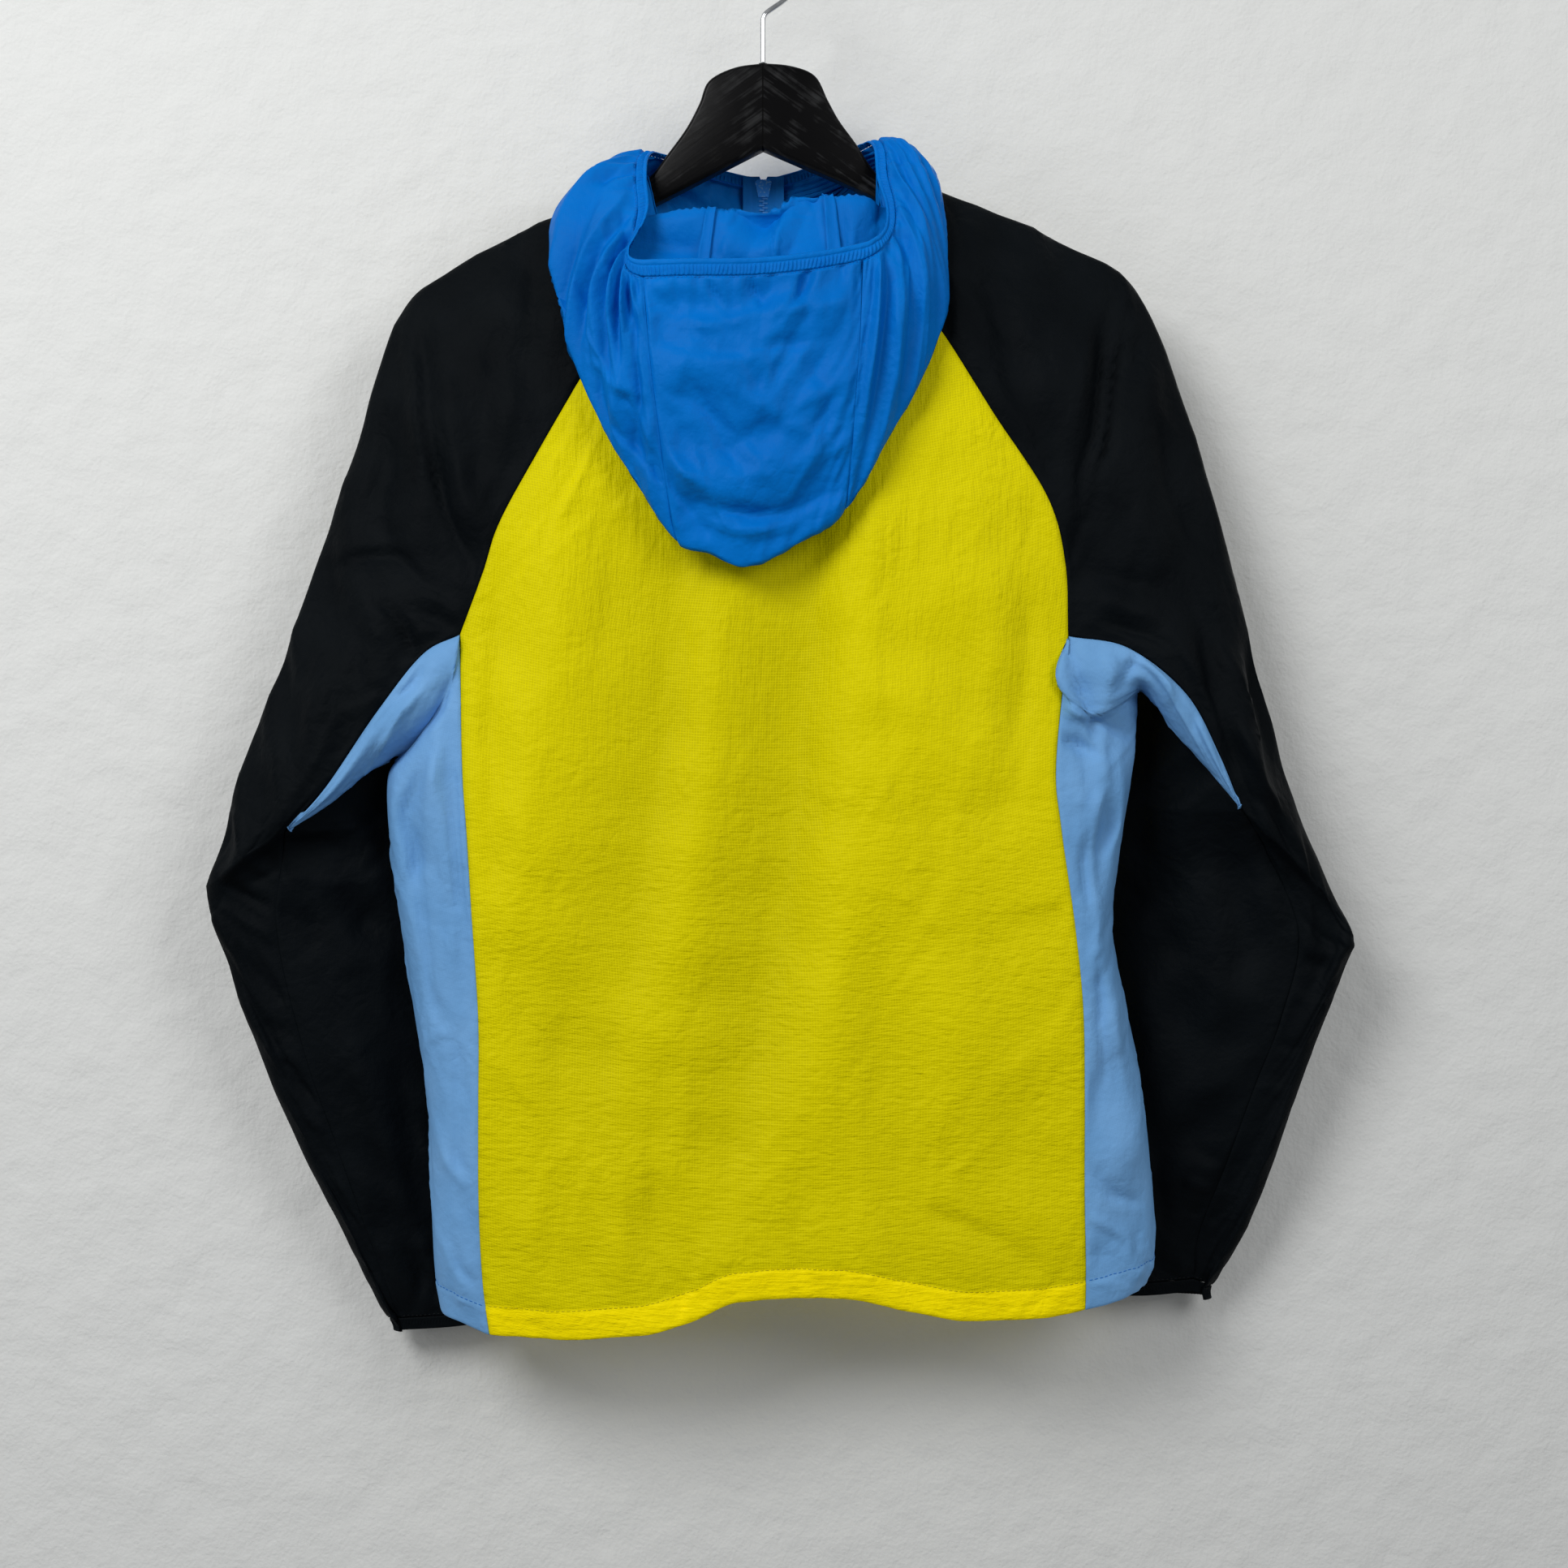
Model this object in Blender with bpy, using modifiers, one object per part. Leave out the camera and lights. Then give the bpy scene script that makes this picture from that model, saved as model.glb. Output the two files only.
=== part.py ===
"""A hooded windbreaker jacket hanging on a two-piece wooden hanger.

The origin is the inside top of the hanger's hook, where a rail carries it.  +Z is up, the back
of the jacket faces -Y, its front faces +Y, and the wearer's left is at -X.  The tables below are
in millimetres, one row for each station of the garment, counted down from the neck.
"""
import math

import bmesh
import bpy
import numpy as np

MM = 0.001

# driving sizes, mm
CLOTH = 1.2                # wall of a cloth panel
ELASTIC = 1.6              # wall of the cuffs and of the hood's brim
SEAM = 0.15                # each piece stays this far off a seam, so two pieces are 0.3 apart
ZIP_EDGE = 5.6             # from the middle of the zip to the edge of a front
TAPE_WIDTH = 15.0
TAPE = 1.0                 # wall of a zip tape
TAPE_BEHIND = CLOTH + 4 * SEAM
SLIDER_TOP = -146.0        # height of the slider's upper end
SLIDER_BRIDGE = 2.6        # where its two plates join
SLIDER_HEIGHT = 11.0
SLIDER_WIDE = 10.5         # across its upper end
SLIDER_NARROW = 6.4
SLIDER_PLATE = 1.3
SLIDER_SLOT = 1.8
PULL_LENGTH = 22.0
PULL_THICKNESS = 1.2
PULL_AXIS = 1.15           # the pull's hinge stands this far off the front plate
ARCH_WIRE = 1.1            # the arch on the front plate that holds the pull
ARCH_SPAN = 3.2            # half its height
ARCH_REACH = 3.0
BRIM_BACK = 10.0           # height of the gathered brim band across the back of the hood
BRIM_SIDE = 7.0            # and round the sides and the collar
CUFF_HEIGHT = 8.0
WIRE = 3.3                 # hook wire
RING_RADIUS = 22.0         # centre line of the hook's ring
WOOD = 12.0                # thickness of the hanger
ARM_SWEEP = 0.05           # how far the arms lean to the front for each mm of reach

# mesh steps
YOKE_STEPS = 8             # neck to armpit
BODY_STEPS = 12            # armpit to hem
GUSSET_STEPS = 7           # armpit to the gusset's tip
FOREARM_STEPS = 14         # gusset's tip to cuff
BACK_STEPS = 14
FRONT_STEPS = 6
SIDE_STEPS = 8
SLEEVE_STEPS = 17
HOOD_STEPS = 18
SIDE_STOPS = [(3, 4)]               # control line of a row, and the step that falls on it
SLEEVE_STOPS = [(2, 4), (3, 5), (4, 6), (6, 12)]
HOOD_STOPS = [(1, 2), (3, 9)]

ARMPIT = 6                 # station of the armpit
TIP = 10                   # station of the gusset's tip
HEM = 14                   # station of the hem
CUFF = 17                  # station of the cuff

YELLOW = (0.72, 0.62, 0.0)
BLACK = (0.006, 0.008, 0.010)
LIGHT_BLUE = (0.147, 0.342, 0.631)
BLUE = (0.0, 0.133, 0.558)
LACQUER = (0.010, 0.011, 0.012)
CHROME = (0.62, 0.63, 0.64)

# Raglan seams, outer fold and inner fold of each sleeve: x, y, z.
# Stations 0 to 6 run from the neck to the armpit, 7 to 10 down to the gusset's tip at the elbow,
# and 11 to 17 down the forearm to the cuff.
SLEEVE_BACK_SEAM = {
    "left": [(-63, -20, -191), (-83, -23, -235), (-111, -26, -283), (-137, -29, -329),
             (-159, -30, -370), (-169, -29, -400), (-183, -27, -437), (-206, -26, -449),
             (-234, -25, -484), (-266, -22, -530), (-291, -15, -556), (-296, 1, -571),
             (-301, 5, -619), (-286, 10, -691), (-268, 16, -748), (-251, 24, -802),
             (-237, 33, -846), (-231, 40, -866)],
    "right": [(73, -20, -191), (88, -23, -225), (111, -26, -257), (140, -29, -304),
              (172, -30, -354), (183, -29, -394), (185, -27, -438), (222, -26, -445),
              (257, -25, -473), (278, -22, -511), (292, -15, -543), (311, 2, -570),
              (332, 7, -620), (322, 10, -672), (307, 16, -715), (291, 24, -764),
              (275, 33, -811), (273, 40, -841)],
}
SLEEVE_OUTER_FOLD = {
    "left": [(-74, 4, -150.5), (-94, 5, -161), (-145, 7, -184), (-195, 10, -210),
             (-227, 12, -239), (-254, 12, -323), (-280, 10, -400), (-298, 9, -453),
             (-321, 9, -512), (-338, 10, -570), (-346, 12, -591), (-345, 14, -603),
             (-338, 15, -627), (-314, 19, -697), (-291, 26, -755), (-267, 34, -807),
             (-248, 43, -850), (-239, 49, -868)],
    "right": [(73, 4, -147.5), (95, 5, -156), (136, 7, -171), (191, 10, -195),
              (233, 12, -223), (265, 12, -302), (288, 10, -381), (305, 9, -450),
              (321, 9, -512), (339, 10, -563), (358, 12, -603), (367, 14, -622),
              (363, 15, -641), (347, 19, -684), (331, 26, -732), (315, 34, -785),
              (298, 43, -825), (286, 49, -847)],
}
SLEEVE_INNER_FOLD = {           # from station 7 on
    "left": [(-209, 42, -490), (-204, 46, -510), (-201, 49, -530), (-199, 50, -550),
             (-197, 51, -569), (-195, 52, -594), (-185, 54, -665), (-177, 55, -727),
             (-171, 56, -785), (-163, 57, -835), (-157, 57, -860)],
    "right": [(219, 42, -466), (216, 46, -488), (212, 49, -514), (209, 50, -542),
              (207, 51, -565), (206, 52, -594), (203, 54, -655), (198, 55, -709),
              (193, 56, -762), (192, 57, -811), (204, 57, -846)],
}
SLEEVE_FRONT_SEAM = {           # front raglan seam, then the lower edge of the gusset
    "left": [(-55, 24, -169), (-72, 27, -203), (-100, 29, -251), (-136, 31, -305),
             (-159, 32, -356), (-172, 31, -397), (-188, 27, -439), (-237, 14, -512),
             (-243, 0, -519), (-264, -8, -538), (-291, -14, -557)],
    "right": [(56, 24, -167), (74, 27, -198), (102, 29, -239), (135, 31, -289),
              (171, 32, -340), (184, 31, -386), (189, 27, -439), (238, 14, -470),
              (255, 0, -492), (274, -8, -519), (293, -14, -544)],
}
# How far the back of the sleeve, its front, and the inner part of its back stand off the
# straight line between the folds and seams, one row for each station.
SLEEVE_FULLNESS = [
    # back, front, inner back
    (6, 6, 0), (8, 7, 0), (10, 8, 0), (11, 9, 0), (12, 10, 0), (13, 12, 0),
    (13, 13, 0), (13, 15, -5), (13, 16, -7), (12, 17, -3), (10, 17, 5), (4, 17, 11),
    (3, 16, 13), (4, 15, 14), (4, 14, 14), (3, 13, 13), (3, 12, 12), (2, 10, 10),
]
FOLD_ROUND = 9.0                # half width of the sleeve's rounded outer fold

# Side panels below the armpit: back seam, outermost line and front seam: x, y, z.
SIDE_BACK_SEAM = {
    "left": [(-183, -27, -437), (-181, -33, -515), (-178, -34, -559), (-175, -35, -606),
             (-171, -35, -669), (-171, -35, -724), (-171, -34, -778), (-169, -32, -825),
             (-165, -29, -860)],
    "right": [(185, -27, -438), (177, -33, -515), (180, -34, -554), (188, -35, -611),
              (193, -35, -661), (194, -35, -715), (194, -34, -773), (195, -32, -818),
              (195, -29, -845)],
}
SIDE_OUTERMOST = {
    "left": [(-224, 0, -510), (-231, 0, -524), (-230, 0, -560), (-223, 0, -614),
             (-214, 0, -670), (-206, 0, -726), (-204, 0, -780), (-202, 0, -826),
             (-198, 0, -850)],
    "right": [(230, -2, -471), (229, 0, -507), (222, 0, -554), (215, 0, -613),
              (224, 0, -666), (234, 0, -720), (240, 0, -778), (241, 0, -815),
              (235, 0, -834)],
}
SIDE_FRONT_SEAM = {
    "left": [(-188, 27, -439), (-200, 30, -517), (-201, 31, -561), (-197, 32, -612),
             (-192, 32, -672), (-187, 32, -730), (-184, 32, -788), (-182, 31, -836),
             (-179, 29, -868)],
    "right": [(189, 27, -439), (194, 30, -512), (196, 31, -555), (199, 31, -616),
              (202, 32, -670), (207, 32, -724), (209, 32, -785), (210, 31, -829),
              (206, 29, -854)],
}
# The bend under the arm, where the side panel turns into the gusset, from its back end to its
# front end, and the gusset's own cross lines from its upper edge to its lower one.
ARMPIT_BEND = {
    "left": [(-183, -27, -437), (-187, -31, -463), (-208, -20, -497), (-224, 0, -510),
             (-218, 17, -494), (-203, 26, -466), (-188, 27, -439)],
    "right": [(185, -27, -438), (177, -34, -466), (203, -27, -484), (230, -2, -471),
              (226, 15, -464), (208, 25, -455), (189, 27, -439)],
}
GUSSET = {
    "left": [
        [(-206, -26, -449), (-209, -31, -471), (-219, -25, -495), (-229, -12, -512),
         (-229, -2, -512), (-228, 8, -509), (-237, 14, -512)],
        [(-234, -25, -484), (-234, -28, -496), (-237, -25, -509), (-241, -15, -520),
         (-242, -10, -521), (-243, -5, -521), (-243, 0, -519)],
        [(-266, -22, -530), (-266, -23, -533), (-266, -21, -537), (-266, -17, -539),
         (-265, -14, -540), (-265, -11, -540), (-264, -8, -538)],
    ],
    "right": [
        [(222, -26, -445), (224, -31, -453), (228, -27, -463), (234, -14, -471),
         (236, -4, -473), (238, 5, -473), (238, 14, -470)],
        [(257, -25, -473), (255, -28, -480), (253, -24, -488), (252, -15, -494),
         (252, -10, -495), (253, -5, -495), (255, 0, -492)],
        [(278, -22, -511), (276, -23, -515), (275, -21, -518), (274, -17, -520),
         (274, -14, -521), (274, -11, -521), (274, -8, -519)],
    ],
}
TIP_STATION = 9.9               # the gusset stops just short of its point

BACK_MIDDLE_DEPTH = [-29, -31, -33, -35, -36.5, -37.5, -38, -39, -40, -40, -40, -40, -39, -38, -36]
FRONT_MIDDLE = [                # the line of the zip: x, y, z
    (0, 38, -200), (0, 38, -226), (0, 38, -262), (0, 38, -305), (1, 38, -352), (1, 38, -392),
    (2, 38, -442), (3, 38, -516), (4, 38, -560), (5, 38, -614), (6, 38, -672), (7, 38, -727),
    (8, 38, -780), (8, 37, -822), (8, 36, -848)]
HEM_LIFT = [                    # how far the back hem rises, along it from left to right
    # share of the way, mm
    (0.00, 0), (0.13, -4), (0.25, -3), (0.34, 4), (0.42, 15), (0.50, 16), (0.60, 14),
    (0.69, 6), (0.82, -3), (0.92, -3), (1.00, 0)]
HEM_LIFT_FROM = 11              # station at which the lift begins

# Hood, from the zip round one side to the middle of the back.
# neck is the share of the way round the neck seam, roll how far the hood rolls over it.
HOOD_STATIONS = {
    "left": [
        # neck, roll, fold line x, y, z, brim x, y, z
        (0.00, 0.0, (-5.6, 38, -172), (-5.6, 38, -144)),
        (0.15, 0.0, (-32, 38, -166), (-26, 34, -140)),
        (0.29, 0.2, (-60, 31, -152), (-42, 22, -137)),
        (0.38, 0.6, (-84, 15, -149), (-62, 9, -137)),
        (0.46, 1.0, (-102, 2, -154), (-67, -2, -139)),
        (0.54, 1.0, (-119, -9, -166), (-70, -12, -146)),
        (0.61, 1.0, (-129, -18, -185), (-70, -24, -161)),
        (0.67, 1.0, (-128, -27, -210), (-68, -36, -179)),
        (0.71, 1.0, (-122, -34, -242), (-70, -44, -191)),
        (0.75, 1.0, (-112, -39, -276), (-74, -51, -200)),
        (0.78, 1.0, (-99, -43, -306), (-78, -57, -209)),
        (0.81, 1.0, (-79, -46, -342), (-78, -61, -216)),
        (0.85, 1.0, (-50, -49, -384), (-71, -64, -219)),
        (0.92, 1.0, (-31, -50, -391), (-45, -67, -219)),
        (1.00, 1.0, (-10, -51, -400), (-4, -69, -219)),
    ],
    "right": [
        (0.00, 0.0, (5.6, 38, -172), (5.6, 38, -144)),
        (0.15, 0.0, (32, 38, -165), (26, 34, -139)),
        (0.29, 0.2, (58, 31, -150), (42, 22, -134)),
        (0.38, 0.6, (80, 15, -142), (60, 9, -131)),
        (0.46, 1.0, (94, 2, -142), (65, -2, -133)),
        (0.54, 1.0, (105, -9, -152), (68, -12, -141)),
        (0.61, 1.0, (110, -18, -172), (69, -24, -160)),
        (0.67, 1.0, (112, -27, -207), (73, -36, -177)),
        (0.71, 1.0, (112, -34, -238), (74, -44, -188)),
        (0.75, 1.0, (103, -39, -268), (73, -51, -196)),
        (0.78, 1.0, (93, -43, -290), (70, -57, -202)),
        (0.81, 1.0, (78, -46, -317), (67, -61, -205)),
        (0.85, 1.0, (49, -49, -366), (60, -64, -209)),
        (0.92, 1.0, (22, -50, -385), (32, -67, -215)),
        (1.00, 1.0, (-10, -51, -400), (-4, -69, -219)),
    ],
}
HOOD_SEAM = 12                  # station of the seam between a hood side and the centre panel
ROLL_HEIGHT = 9.0
ROLL_REACH = 6.0
HOOD_INNER_LIE = 4.0            # how far the inner layer hangs in front of the chord
HOOD_OUTER_BELLY = 9.0          # and the outer layer of its own

# Upper edge of each half of the hanger from the middle out, then its lower edge back: x, z.
HANGER_OUTLINE = {
    "left": ([(-0.5, -84.5), (-17, -87), (-33, -95), (-39, -109), (-47, -124), (-58, -139),
              (-70, -154), (-88, -165.5), (-108, -174.5), (-150, -193), (-190, -215), (-211, -229),
              (-217, -236)],
             [(-216, -242), (-209, -245), (-190, -234), (-150, -211), (-67, -170.5),
              (-0.5, -136)]),
    "right": ([(0.5, -84.5), (17, -86), (32, -92), (40, -107), (47, -119.5), (57, -133),
               (69, -150.5), (82, -158.5), (95, -164), (136, -177.5), (191, -202), (214, -216), (221, -223)],
              [(220, -229), (214, -232), (191, -219), (136, -195), (69, -166), (0.5, -136)]),
}
HOOK_STEM = [(0, -84.1), (0, -70), (0, -58), (0.8, -54.2), (3.6, -51.2), (12.5, -45),
             (17.8, -40), (20.7, -33.5)]        # x, z, from the wood up to the ring

# Largest folds: where, the line of the fold as x, z, half width, height (minus is a trough).
FOLDS = [
    ("back", ((-70, -405), (-95, -520), (-120, -645)), 26, -4.0),
    ("back", ((-28, -450), (-34, -560), (-60, -690), (-100, -800)), 30, 4.0),
    ("back", ((22, -440), (26, -530), (0, -660), (-42, -800)), 20, -5.0),
    ("back", ((60, -520), (56, -640), (40, -760)), 34, 3.0),
    ("back", ((168, -420), (160, -520), (150, -640)), 12, -3.0),
    ("back", ((100, -800), (150, -740), (168, -690)), 14, -2.5),
    ("back", ((-160, -560), (-150, -680), (-120, -790)), 16, -2.5),
    ("front", ((-90, -330), (-110, -480), (-100, -640), (-120, -800)), 26, -4.0),
    ("front", ((-50, -300), (-60, -480), (-45, -700)), 22, 3.5),
    ("front", ((80, -320), (105, -500), (90, -680), (115, -810)), 26, -4.0),
    ("front", ((45, -400), (60, -560), (50, -780)), 20, 3.0),
    ("sleeve", ((-188, -270), (-172, -345), (-182, -400)), 9, -4.0),
    ("sleeve", ((-214, -275), (-200, -330), (-232, -385), (-270, -400)), 15, 3.5),
    ("sleeve", ((-205, -425), (-232, -404), (-262, -408)), 8, -4.0),
    ("sleeve", ((220, -245), (208, -310), (196, -370)), 8, -4.5),
    ("sleeve", ((240, -265), (262, -330), (284, -410), (300, -480), (330, -560)), 12, 4.0),
    ("sleeve", ((255, -345), (245, -400), (262, -430)), 12, 2.5),
    ("hood", ((-60, -245), (0, -262), (45, -248)), 12, 3.0),
    ("hood", ((-50, -290), (-20, -325), (30, -345)), 14, -3.0),
    ("hood", ((-90, -230), (-95, -270), (-70, -325)), 12, -3.0),
]


# ---- curves and grids -----------------------------------------------------------------------

def smooth(points, at):
    """Points of a smooth curve that passes points 0, 1, 2 ... at those numbers."""
    points = np.asarray(points, float)
    chords = np.diff(points, axis=0)
    lengths = np.linalg.norm(chords, axis=1)
    slopes = np.vstack([chords[:1], (chords[1:] + chords[:-1]) / 2, chords[-1:]])
    shortest = np.concatenate([lengths[:1], np.minimum(lengths[1:], lengths[:-1]), lengths[-1:]])
    sizes = np.maximum(np.linalg.norm(slopes, axis=1), 1e-9)
    slopes *= np.minimum(1.0, 1.5 * shortest / sizes)[:, None]
    at = np.asarray(at, float)
    index = np.clip(np.floor(at).astype(int), 0, len(points) - 2)
    t = (at - index)[:, None]
    start, end = points[index], points[index + 1]
    return (start * (2 * t**3 - 3 * t**2 + 1) + slopes[index] * (t**3 - 2 * t**2 + t)
            + end * (3 * t**2 - 2 * t**3) + slopes[index + 1] * (t**3 - t**2))


def along(points, steps, start_gap=SEAM, end_gap=SEAM, stops=(), dense=10):
    """Evenly spaced points on a smooth curve, kept a gap off its two ends.

    Each stop is a control point of the curve and the number of the step that falls on it.
    """
    curve = smooth(points, np.linspace(0, len(points) - 1, dense * (len(points) - 1) + 1))
    travelled = np.concatenate([[0], np.cumsum(np.linalg.norm(np.diff(curve, axis=0), axis=1))])
    step_numbers = [0] + [step for _, step in stops] + [steps]
    lengths = [start_gap] + [travelled[dense * control] for control, _ in stops]
    lengths.append(travelled[-1] - end_gap)
    wanted = np.interp(np.arange(steps + 1), step_numbers, lengths)
    return np.stack([np.interp(wanted, travelled, curve[:, axis]) for axis in range(3)], axis=1)


def loft(columns, steps, **options):
    """Grid whose rows run across the columns, which are sampled alike down the garment."""
    return np.stack([along(row, steps, **options) for row in np.stack(columns, axis=1)])


def draw_in(grid, first=True, last=True, gap=SEAM):
    """Keeps the first and last rows of a grid a gap off the seam that they lie on."""
    for wanted, edge, inner in ((first, 0, 1), (last, -1, -2)):
        if wanted:
            step = grid[inner] - grid[edge]
            length = np.maximum(np.linalg.norm(step, axis=1, keepdims=True), 1e-9)
            grid[edge] += step / length * gap
    return grid


def facing(grid):
    """How far each point of a grid faces the front, from -1 to 1."""
    normal = np.cross(np.gradient(grid, axis=1), np.gradient(grid, axis=0))
    return normal[..., 1] / np.maximum(np.linalg.norm(normal, axis=2), 1e-9)


def fold_height(grid, where):
    """Height of the named folds over each point of a grid."""
    total = np.zeros(grid.shape[:2])
    flat = grid[..., [0, 2]]
    for place, line, half_width, height in FOLDS:
        if place != where:
            continue
        line = np.asarray(line, float)
        route = smooth(line, np.linspace(0, len(line) - 1, 24))
        distance = np.linalg.norm(flat[:, :, None] - route, axis=3)
        nearest = distance.argmin(axis=2)
        share = nearest / (len(route) - 1)
        fade = np.sin(np.pi * np.clip(0.08 + 0.84 * share, 0, 1)) ** 0.7
        total += height * fade * np.exp(-(distance.min(axis=2) / half_width) ** 2)
    return total


def fold(grid, where, side=-1, outward=1):
    """Raises the folds on the part of a grid that faces the back (-1) or the front (1)."""
    turned = facing(grid) * outward * side
    weight = np.clip(turned / 0.6, 0, 1)
    grid[..., 1] += side * fold_height(grid, where) * weight
    return grid


# ---- seams ----------------------------------------------------------------------------------

YOKE_AT = np.linspace(0, ARMPIT, YOKE_STEPS + 1)
BODY_AT = np.linspace(ARMPIT, HEM, BODY_STEPS + 1)
GUSSET_AT = np.linspace(ARMPIT, TIP, GUSSET_STEPS + 1)
FOREARM_AT = np.linspace(TIP, CUFF, FOREARM_STEPS + 1)


def down_sleeve(table, first=0):
    """Samples a sleeve table at the rows of the sleeve, from the station where it starts."""
    table = np.asarray(table, float)
    parts = []
    for at, low, high in ((YOKE_AT, 0, ARMPIT), (GUSSET_AT, ARMPIT, TIP), (FOREARM_AT, TIP, CUFF)):
        part = table[low - first:high - first + 1]
        parts.append(smooth(part, at - low))
    return np.vstack([parts[0], parts[1][1:], parts[2][1:]])


def down_body(yoke, body):
    """Joins a yoke edge to a side edge and samples both at the rows of the body."""
    upper = smooth(np.asarray(yoke, float)[:ARMPIT + 1], YOKE_AT)
    lower = smooth(np.asarray(body, float), BODY_AT - ARMPIT)
    return np.vstack([upper, lower[1:]])


# ---- cloth pieces ---------------------------------------------------------------------------

def back_grid():
    left = down_body(SLEEVE_BACK_SEAM["left"], SIDE_BACK_SEAM["left"])
    right = down_body(SLEEVE_BACK_SEAM["right"], SIDE_BACK_SEAM["right"])
    stations = np.concatenate([YOKE_AT, BODY_AT[1:]])
    middle = np.interp(stations, range(HEM + 1), BACK_MIDDLE_DEPTH)
    lift_share = np.clip((stations - HEM_LIFT_FROM) / (HEM - HEM_LIFT_FROM), 0, 1) ** 1.5
    shares = np.linspace(0, 1, BACK_STEPS + 1)
    lift_line = smooth([(share, mm, 0) for share, mm in HEM_LIFT],
                       np.interp(shares, [row[0] for row in HEM_LIFT], range(len(HEM_LIFT))))[:, 1]
    across = right - left
    length = np.linalg.norm(across, axis=1)[:, None]
    shares = (SEAM + shares * (length - 2 * SEAM)) / length
    grid = left[:, None] + across[:, None] * shares[..., None]
    belly = 1 - np.abs(2 * shares - 1) ** 3
    grid[..., 1] += (middle - (left[:, 1] + right[:, 1]) / 2)[:, None] * belly
    grid[..., 2] += lift_share[:, None] * lift_line[None]
    return draw_in(fold(grid, "back", outward=-1), last=False)


def front_grid(side):
    sign = -1 if side == "left" else 1
    outer = down_body(SLEEVE_FRONT_SEAM[side][:ARMPIT + 1], SIDE_FRONT_SEAM[side])
    stations = np.concatenate([YOKE_AT, BODY_AT[1:]])
    inner = smooth(FRONT_MIDDLE, stations) + np.array([sign * ZIP_EDGE, 0, 0])
    belly = 2.0
    middle = (outer + inner) / 2 + np.array([0, belly, 0])
    grid = loft([outer, middle, inner], FRONT_STEPS, start_gap=3 * SEAM, end_gap=0)
    return draw_in(fold(grid, "front", side=1, outward=sign), last=False)


def side_columns(side):
    """Lines down a side panel from the armpit, over its rounded edge."""
    back = smooth(SIDE_BACK_SEAM[side], BODY_AT - ARMPIT)
    outermost = np.asarray(SIDE_OUTERMOST[side], float)
    front = np.asarray(SIDE_FRONT_SEAM[side], float)
    back_table = np.asarray(SIDE_BACK_SEAM[side], float)
    columns = [back]
    for seam, angles in ((back_table, (30, 60)), (None, (90,)), (front, (60, 30))):
        for angle in angles:
            if seam is None:
                table = outermost.copy()
            else:
                turn = math.sin(math.radians(angle))
                table = seam + (outermost - seam) * turn
                table[:, 1] = seam[:, 1] * math.cos(math.radians(angle))
            table[0] = ARMPIT_BEND[side][len(columns)]
            columns.append(smooth(table, BODY_AT - ARMPIT))
    columns.append(smooth(front, BODY_AT - ARMPIT))
    return columns


def side_grid(side):
    body = side_columns(side)
    table = np.asarray([ARMPIT_BEND[side]] + GUSSET[side], float)
    tip_back = np.asarray(SLEEVE_BACK_SEAM[side][TIP], float)
    tip_front = np.asarray(SLEEVE_FRONT_SEAM[side][TIP], float)
    tip = [tip_back + (tip_front - tip_back) * share for share in np.linspace(0, 1, 7)]
    table = np.concatenate([table, [tip]])
    at = GUSSET_AT[1:] - ARMPIT
    at[-1] = TIP_STATION - ARMPIT
    columns = []
    for number, line in enumerate(body):
        out = smooth(table[:, number], at)
        columns.append(np.vstack([line[::-1], out]))
    grid = loft(columns, SIDE_STEPS, stops=SIDE_STOPS)
    return fold(grid, "back", outward=1 if side == "left" else -1)


def sleeve_columns(side):
    """Lines down a sleeve: back seam, round the outer fold, over the front, to the lower seam."""
    back = np.asarray(SLEEVE_BACK_SEAM[side], float)
    outer = np.asarray(SLEEVE_OUTER_FOLD[side], float)
    front = np.vstack([np.asarray(SLEEVE_FRONT_SEAM[side], float), back[TIP + 1:]])
    inner = np.vstack([outer[:ARMPIT + 1] + 0.72 * (front - outer)[:ARMPIT + 1],
                       np.asarray(SLEEVE_INNER_FOLD[side], float)])
    fullness = np.asarray(SLEEVE_FULLNESS, float)
    inner[:ARMPIT + 1, 1] += 0.8 * fullness[:ARMPIT + 1, 1]
    depth = np.array([0, 1, 0])
    middle = (back + inner) / 2 - outer
    middle[:, 1] = 0
    inward = middle / np.linalg.norm(middle, axis=1, keepdims=True)
    lines = {
        "back": back,
        "back_middle": (back + outer) / 2 - fullness[:, :1] * depth,
        "outer_back": outer + inward * FOLD_ROUND * 0.7 - depth * FOLD_ROUND,
        "outer": outer,
        "outer_front": outer + inward * FOLD_ROUND * 0.7 + depth * FOLD_ROUND,
        "front_middle": (outer + inner) / 2 + fullness[:, 1:2] * depth,
        "inner": inner,
        "inner_middle": (inner + front) / 2 - fullness[:, 2:] * depth,
        "front": front,
    }
    lines["inner_middle"][:ARMPIT + 1] += (0.25 * fullness[:ARMPIT + 1, 1:2]) * depth
    return [down_sleeve(line) for line in lines.values()]


def sleeve_grid(side):
    grid = loft(sleeve_columns(side), SLEEVE_STEPS, end_gap=6 * SEAM, stops=SLEEVE_STOPS)
    grid = fold(grid, "sleeve", outward=1 if side == "left" else -1)
    return draw_in(grid)


def cuff_grid(side):
    """Elastic band below the end of a sleeve, a closed ring."""
    columns = sleeve_columns(side)
    end = loft([line[-2:] for line in columns], SLEEVE_STEPS, start_gap=0, end_gap=0,
               stops=SLEEVE_STOPS)
    ring, before = end[1], end[0]
    way = (ring - before).mean(axis=0)
    way /= np.linalg.norm(way)
    middle = ring.mean(axis=0)
    grid = np.stack([middle + (ring - middle) * scale + way * (share * CUFF_HEIGHT + 5 * SEAM)
                     for share, scale in ((0, 0.99), (0.5, 0.97), (1, 0.99))])
    grid[:, -1] = grid[:, 0]
    return grid


# ---- hood -----------------------------------------------------------------------------------

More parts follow.
